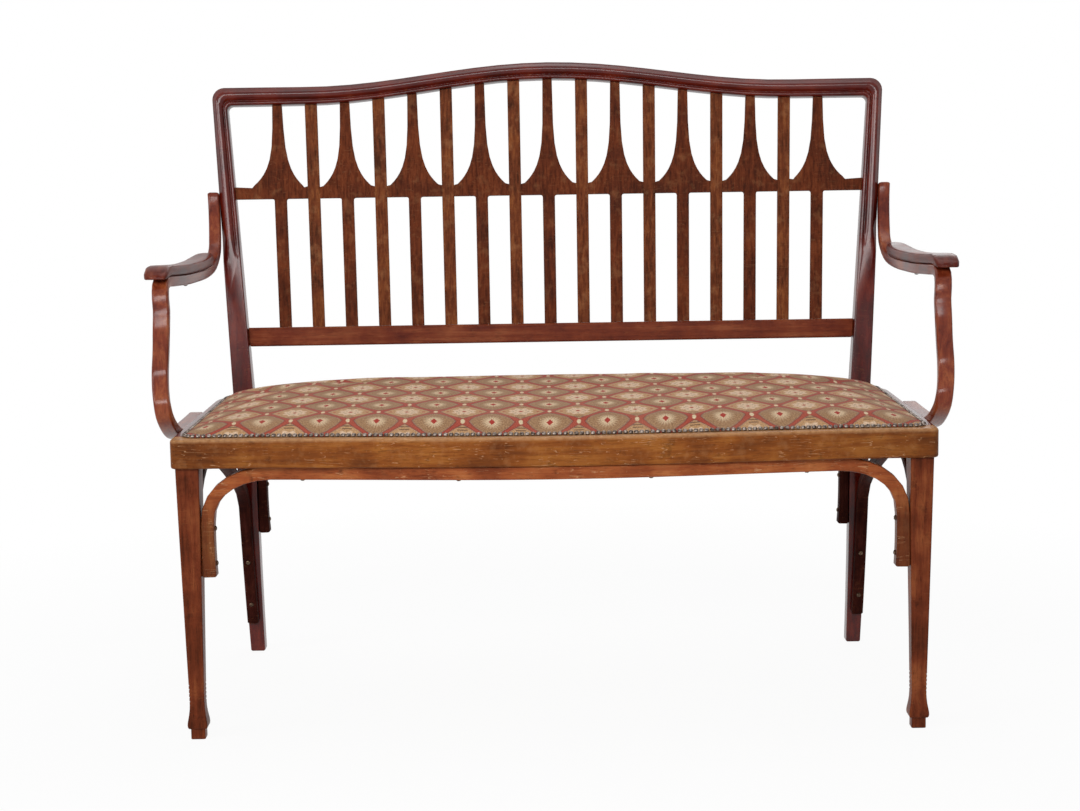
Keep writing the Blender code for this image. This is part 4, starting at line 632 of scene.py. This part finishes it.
def makeMoquette(look):
    material = newMaterial("wovenMoquette")
    coords = addNode(material, "TexCoord")
    # no thread lies quite where it should: a quick jitter, and a slow drift from the loom and the fitting
    moved = (coords, "UV")
    for wave, amount in look["drifts"]:
        drift = addNode(material, "TexNoise", {"Vector": (coords, "UV"), "Scale": 1 / (wave * mm),
                                               "Detail": 1.0})
        centred = addNode(material, "VectorMath", {0: (drift, 1), 1: (0.5, 0.5, 0.5)}, operation="SUBTRACT")
        offset = addNode(material, "VectorMath", {0: (centred, 0), "Scale": amount * mm}, operation="SCALE")
        shifted = addNode(material, "VectorMath", {0: moved, 1: (offset, 0)}, operation="ADD")
        moved = (shifted, 0)
    split = addNode(material, "SeparateXYZ", {0: moved})
    made = {"x": (split, 0), "y": (split, 1)}
    for name, operation, *reads in moquetteSteps:
        values = [made[value] if isinstance(value, str) else value for value in reads]
        if operation == "STEP":
            links = dict(zip(("Value", "From Min", "From Max"), values))
            made[name] = (addNode(material, "MapRange", links), 0)
        else:
            made[name] = (addNode(material, "Math", dict(enumerate(values)), operation=operation), 0)

    fine = addNode(material, "TexNoise", {"Vector": (coords, "UV"), "Scale": 1 / (look["speck"] * mm),
                                          "Detail": 3.0, "Roughness": 0.7})
    speck = addNode(material, "MapRange", {"Value": (fine, 0), "From Min": 0.36, "From Max": 0.66})
    cells = []
    for ground, layers in (
            (("olive", "oliveLight"), (("glow", "glow"), ("oliveHeart", "heart"))),
            (("beige", "beigeLight"), (("flower", "petal"), ("seedShare", "ink"), ("beigeHeart", "heart"),
                                       ("barShare", "ink"), ("berryShare", "heart")))):
        colour = addNode(material, "Mix", {0: (speck, 0), 6: toLinear(look[ground[0]]),
                                           7: toLinear(look[ground[1]])}, data_type="RGBA")
        for share, tint in layers:
            colour = addNode(material, "Mix", {0: made[share], 6: (colour, 2), 7: toLinear(look[tint])},
                             data_type="RGBA")
        cells.append(colour)
    colour = addNode(material, "Mix", {0: made["odd"], 6: (cells[0], 2), 7: (cells[1], 2)},
                     data_type="RGBA")
    for share, tint in (("fringe", "fringe"), ("band", "red")):
        colour = addNode(material, "Mix", {0: made[share], 6: (colour, 2), 7: toLinear(look[tint])},
                         data_type="RGBA")
    edging = addNode(material, "Math", {0: made["line"], 1: made["band"]}, operation="MULTIPLY")
    for share, tint in (((edging, 0), "redDark"), (made["dots"], "dot")):
        colour = addNode(material, "Mix", {0: share, 6: (colour, 2), 7: toLinear(look[tint])},
                         data_type="RGBA")

    # thread by thread, light and dark, and rubbed paler in patches
    thread = addNode(material, "TexNoise", {"Vector": (coords, "UV"), "Scale": 1 / (look["thread"] * mm),
                                            "Detail": 0.0})
    tone = addNode(material, "MapRange", {
        "Value": (thread, 0), "From Min": 0.3, "From Max": 0.7,
        "To Min": look["threadTone"][0], "To Max": look["threadTone"][1]})
    grey = addNode(material, "CombineColor", {0: (tone, 0), 1: (tone, 0), 2: (tone, 0)})
    toned = addNode(material, "Mix", {0: 1.0, 6: (colour, 2), 7: (grey, 0)}, data_type="RGBA",
                    blend_type="MULTIPLY")
    slow = addNode(material, "TexNoise", {"Vector": (coords, "UV"), "Scale": 1 / (look["fadeWide"] * mm),
                                          "Detail": 3.0})
    fade = addNode(material, "MapRange", {"Value": (slow, 0), "From Min": 0.35, "From Max": 0.7,
                                          "To Min": 0.0, "To Max": look["fade"]})
    rubbed = addNode(material, "Mix", {0: (fade, 0), 6: (toned, 2), 7: toLinear(look["faded"])},
                     data_type="RGBA")
    relief = addNode(material, "Bump", {"Height": (thread, 0), "Strength": 0.5,
                                        "Distance": look["threadDeep"] * mm})
    shader = addNode(material, "BsdfPrincipled", {
        "Base Color": (rubbed, 2), "Roughness": 0.92, "Normal": (relief, 0), "IOR": 1.5,
        "Specular IOR Level": 0.1, "Sheen Weight": 0.05, "Sheen Roughness": 0.5})
    addNode(material, "OutputMaterial", {"Surface": (shader, 0)})
    return material


cover.data.materials.clear()
cover.data.materials.append(makeMoquette(moquetteLook))
print("settee: moquette woven")


def makeMetal(name, dark, bright, patinaWide, roughness):
    material = newMaterial(name)
    coords = addNode(material, "TexCoord")
    patina = addNode(material, "TexNoise", {"Vector": (coords, "Object"), "Scale": 1 / (patinaWide * mm),
                                            "Detail": 3.0})
    colour = setRamp(addNode(material, "ValToRGB", {0: (patina, 0)}), [(0.38, dark), (0.62, bright)])
    rough = addNode(material, "MapRange", {"Value": (patina, 0), "From Min": 0.3, "From Max": 0.7,
                                           "To Min": roughness + 0.15, "To Max": roughness})
    shader = addNode(material, "BsdfPrincipled", {"Base Color": (colour, 0), "Metallic": 1.0,
                                                  "Roughness": (rough, 0)})
    addNode(material, "OutputMaterial", {"Surface": (shader, 0)})
    return material


# Pressed brass dome nails, aged in patches from brown to a dull bright grey: small soft glints.
agedBrass = makeMetal("agedBrassNail", "3E342E", "8A7E76", 5.0, 0.30)
# Turned steel screws, browned with age: dark, and almost without a glint.
brownedSteel = makeMetal("brownedSteelScrew", "3A2C24", "75604E", 3.0, 0.42)

# The domes lean outward with the slope of the cloth that they hold.
nails = {"pitch": 0.0079, "radius": 0.00365, "height": 0.0026, "inset": 0.0004, "tilt": -0.46,
         "lift": 0.0001, "around": 12, "rings": 6, "steps": 260}


def edgeRun(inset):  # points along the cover's edge, anticlockwise from the rear left corner
    steps = nails["steps"]
    shares = [i / steps for i in range(steps)]
    turns = ([(0.0, 1 - s) for s in shares] + [(s, 0.0) for s in shares]
             + [(1.0, s) for s in shares] + [(1 - s, 1.0) for s in shares])
    run = []
    for across, deep in turns:
        place = padPoint(across, deep)
        run.append(Vector((place[0], place[2] + railFace, 0.0)))
    moved = []
    for i, point in enumerate(run):
        tangent = (run[(i + 3) % len(run)] - run[i - 3]).normalized()
        inward = Vector((-tangent.y, tangent.x, 0.0))
        moved.append((point + inward * inset, inward))
    return moved


def makeNails():
    deselectAll()
    bpy.ops.mesh.primitive_uv_sphere_add(segments=nails["around"], ring_count=nails["rings"],
                                         radius=nails["radius"])
    nail = bpy.context.active_object
    bpy.ops.object.mode_set(mode="EDIT")
    bpy.ops.mesh.select_all(action="SELECT")
    bpy.ops.mesh.bisect(plane_co=(0, 0, 0), plane_no=(0, 0, 1), clear_inner=True, use_fill=True)
    bpy.ops.mesh.select_all(action="SELECT")
    bpy.ops.transform.resize(value=(1, 1, nails["height"] / nails["radius"]))
    bpy.ops.object.mode_set(mode="OBJECT")
    bpy.ops.object.shade_smooth_by_angle(angle=math.radians(smoothing["nail"]))
    run = edgeRun(nails["inset"])
    ends = run[1:] + run[:1]
    lengths = [0.0]
    for start, end in zip(run, ends):
        lengths.append(lengths[-1] + (end[0] - start[0]).length)
    count = round(lengths[-1] / nails["pitch"])
    copies = []
    at = 0  # the stretch of the run that the nail falls on
    for k in range(count):
        along = lengths[-1] * k / count
        while lengths[at + 1] < along:
            at += 1
        share = (along - lengths[at]) / (lengths[at + 1] - lengths[at])
        start, inward = run[at]
        spot = start.lerp(ends[at][0], share)
        copy = nail.copy()
        copy.data = nail.data.copy()
        bpy.context.scene.collection.objects.link(copy)
        tilt = Matrix.Rotation(nails["tilt"], 4, Vector((-inward.y, inward.x, 0.0)))
        copy.matrix_world = Matrix.Translation((spot.x, spot.y, pad["edgeZ"] + nails["lift"])) @ tilt
        copies.append(copy)
    deselectAll()
    for copy in copies:
        copy.select_set(True)
    bpy.context.view_layer.objects.active = copies[0]
    bpy.ops.object.join()
    row = bpy.context.active_object
    row.name = "brass_nail_row"
    bpy.data.objects.remove(nail)
    placeInMesh(row)
    row.data.materials.clear()
    row.data.materials.append(agedBrass)
    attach(row, "root")
    print("settee: nails driven,", count)


makeNails()

# Round-headed wood screws: each head gets its slot, cut at its own angle.
slot = {"wide": 0.0011, "deep": 0.0008, "reach": 3.0, "turns": (0.4, 1.3, 2.2, 0.9, 1.8)}


def slotScrew(nodeName, turn):
    deselectAll()
    head = nodes[nodeName].copy()
    head.data = nodes[nodeName].data.copy()
    head.name = "slotted_" + nodeName
    bpy.context.scene.collection.objects.link(head)
    makeActive(head)
    bpy.ops.object.mode_set(mode="EDIT")
    bpy.ops.mesh.select_all(action="SELECT")
    bpy.ops.mesh.remove_doubles(threshold=weld)
    bpy.ops.object.mode_set(mode="OBJECT")
    # the flat seat is the direction that most of the surface faces
    areas = {}
    for polygon in head.data.polygons:
        key = tuple(round(part, 2) for part in polygon.normal)
        areas[key] = areas.get(key, 0.0) + polygon.area
    outward = -Vector(max(areas, key=areas.get)).normalized()
    middle = sum((vertex.co for vertex in head.data.vertices), Vector()) / len(head.data.vertices)
    reach = max((vertex.co - middle).dot(outward) for vertex in head.data.vertices)
    radius = max((vertex.co - middle).length for vertex in head.data.vertices)
    spot = middle + outward * reach
    bpy.ops.mesh.primitive_cube_add(size=1.0, location=spot)
    cutter = bpy.context.active_object
    cutter.scale = (radius * slot["reach"], slot["wide"], slot["deep"] * 2)
    cutter.rotation_mode = "QUATERNION"
    spun = Matrix.Rotation(turn, 3, "Z").to_quaternion()
    cutter.rotation_quaternion = outward.to_track_quat("Z", "Y") @ spun
    bpy.context.view_layer.update()
    applyModifier(head, "BOOLEAN", operation="DIFFERENCE", solver="EXACT", object=cutter)
    bpy.data.objects.remove(cutter)
    makeActive(head)
    bpy.ops.object.shade_smooth_by_angle(angle=math.radians(smoothing["screw"]))
    head.data.materials.clear()
    head.data.materials.append(brownedSteel)
    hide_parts(nodeName)
    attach(head, "root")


screws = [nodeName for nodeName in sorted(nodes) if nodeName.startswith("screw")]
for i, nodeName in enumerate(screws):
    slotScrew(nodeName, slot["turns"][i % len(slot["turns"])])
print("settee: screws slotted,", len(screws))


# Jute webbing, plain woven, and the plant fibre of the stuffing: dull, dry and hairy.
def makeJute(name, light, dark):
    material = newMaterial(name)
    coords = addNode(material, "TexCoord")
    yarn = addNode(material, "TexNoise", {"Vector": (coords, "Object"), "Scale": 1 / (2.0 * mm),
                                          "Detail": 2.0})
    colour = setRamp(addNode(material, "ValToRGB", {0: (yarn, 0)}), [(0.35, dark), (0.65, light)])
    relief = addNode(material, "Bump", {"Height": (yarn, 0), "Strength": 0.6, "Distance": 0.6 * mm})
    shader = addNode(material, "BsdfPrincipled", {"Base Color": (colour, 0), "Roughness": 0.95,
                                                  "Normal": (relief, 0)})
    addNode(material, "OutputMaterial", {"Surface": (shader, 0)})
    return material


finishNode("seat_webbing", makeJute("wovenJuteWebbing", "B39A6A", "8A7348"))
finishNode("seat_stuffing", makeJute("fibreStuffing", "C2AE8A", "9C8863"))
print("settee: hidden parts finished")

# floorShare is how much of the floor, near the settee, is plain white; the rest takes its shadow.
studio = {"floorWide": 16.0, "floorShare": 0.93, "fadeFrom": 0.9, "fadeTo": 1.7, "roomLight": 0.24}


def makeFloor():
    # white paper: it keeps the settee's soft shadow, and further out it is the same white as the background
    deselectAll()
    bpy.ops.mesh.primitive_plane_add(size=studio["floorWide"], location=(0, 0, 0))
    floor = bpy.context.active_object
    floor.name = "studio_floor"
    material = newMaterial("whitePaperFloor")
    coords = addNode(material, "TexCoord")
    distance = addNode(material, "VectorMath", {0: (coords, "Object")}, operation="LENGTH")
    fade = addNode(material, "MapRange", {
        "Value": (distance, "Value"), "From Min": studio["fadeFrom"], "From Max": studio["fadeTo"],
        "To Min": studio["floorShare"], "To Max": 1.0})
    path = addNode(material, "LightPath")
    seen = addNode(material, "Math", {0: (path, "Is Camera Ray"), 1: (path, "Is Glossy Ray")},
                   operation="MAXIMUM")
    both = addNode(material, "Math", {0: (seen, 0), 1: (path, "Is Transmission Ray")}, operation="MAXIMUM")
    share = addNode(material, "Math", {0: (both, 0), 1: (fade, 0)}, operation="MULTIPLY")
    paper = addNode(material, "BsdfDiffuse", {"Color": toLinear("F2F2F2")})
    white = addNode(material, "Emission", {"Color": (1, 1, 1, 1), "Strength": 1.0})
    mixed = addNode(material, "MixShader", {0: (share, 0), 1: (paper, 0), 2: (white, 0)})
    addNode(material, "OutputMaterial", {"Surface": (mixed, 0)})
    floor.data.materials.append(material)


def makeWorld():
    world = bpy.data.worlds.new("softStudio")
    bpy.context.scene.world = world
    world.use_nodes = True
    world.node_tree.nodes.clear()
    path = addNode(world, "LightPath")
    seen = addNode(world, "Math", {0: (path, "Is Camera Ray"), 1: (path, "Is Glossy Ray")},
                   operation="MAXIMUM")
    both = addNode(world, "Math", {0: (seen, 0), 1: (path, "Is Transmission Ray")}, operation="MAXIMUM")
    light = addNode(world, "Background", {"Color": (1, 1, 1, 1), "Strength": studio["roomLight"]})
    white = addNode(world, "Background", {"Color": (1, 1, 1, 1), "Strength": 1.0})
    mixed = addNode(world, "MixShader", {0: (both, 0), 1: (light, 0), 2: (white, 0)})
    addNode(world, "OutputWorld", {"Surface": (mixed, 0)})


# name, place, what it points at, width, height and watts; the wide front one draws the soft lights
# on the polish
lamps = (
    ("front", (-0.3, -4.4, 2.10), (0.0, 0.0, 1.2), 3.2, 0.92, 100.0),
    ("window", (-3.6, -2.5, 2.05), (0.0, 0.0, 0.9), 2.4, 1.00, 62.0),
    ("top", (0.2, 0.3, 3.0), (0.0, 0.0, 0.4), 2.2, 2.2, 26.0),
    ("rear", (0.6, 4.0, 2.3), (0.0, 0.0, 0.6), 3.0, 1.5, 36.0),
)


def makeLamps():
    for name, place, aim, wide, high, watts in lamps:
        data = bpy.data.lights.new("soft_" + name, "AREA")
        data.shape = "RECTANGLE"
        data.size = wide
        data.size_y = high
        data.energy = watts
        lamp = bpy.data.objects.new("soft_" + name, data)
        bpy.context.scene.collection.objects.link(lamp)
        lamp.location = place
        lamp.rotation_euler = (Vector(aim) - Vector(place)).to_track_quat("-Z", "Y").to_euler()


# The photograph was taken from about 3 m in front of the seat, a little above it, tipped slightly.
view = {"focal": 2088.8, "imageWide": 1080, "sensor": 36.0, "distance": 3.0, "height": 0.8979,
        "side": -0.0167, "pitch": 7.6, "roll": 0.90, "slide": -0.0021}


def makeCamera():
    pitch, roll = math.radians(view["pitch"]), math.radians(view["roll"])
    forward = Vector((0.0, math.cos(pitch), -math.sin(pitch)))
    level = Vector((1.0, 0.0, 0.0))
    upright = level.cross(forward)
    right = math.cos(roll) * level - math.sin(roll) * upright
    up = math.sin(roll) * level + math.cos(roll) * upright
    data = bpy.data.cameras.new("photoView")
    data.sensor_fit = "HORIZONTAL"
    data.sensor_width = view["sensor"]
    data.lens = view["focal"] * view["sensor"] / view["imageWide"]
    data.shift_x = view["slide"]
    camera = bpy.data.objects.new("photoView", data)
    bpy.context.scene.collection.objects.link(camera)
    place = Vector((view["side"], railFace - view["distance"], view["height"]))
    camera.matrix_world = Matrix((
        (right.x, up.x, -forward.x, place.x), (right.y, up.y, -forward.y, place.y),
        (right.z, up.z, -forward.z, place.z), (0, 0, 0, 1)))
    bpy.context.scene.camera = camera


makeFloor()
makeWorld()
makeLamps()
makeCamera()
bpy.context.scene.view_settings.view_transform = "Standard"
print("settee: studio set")
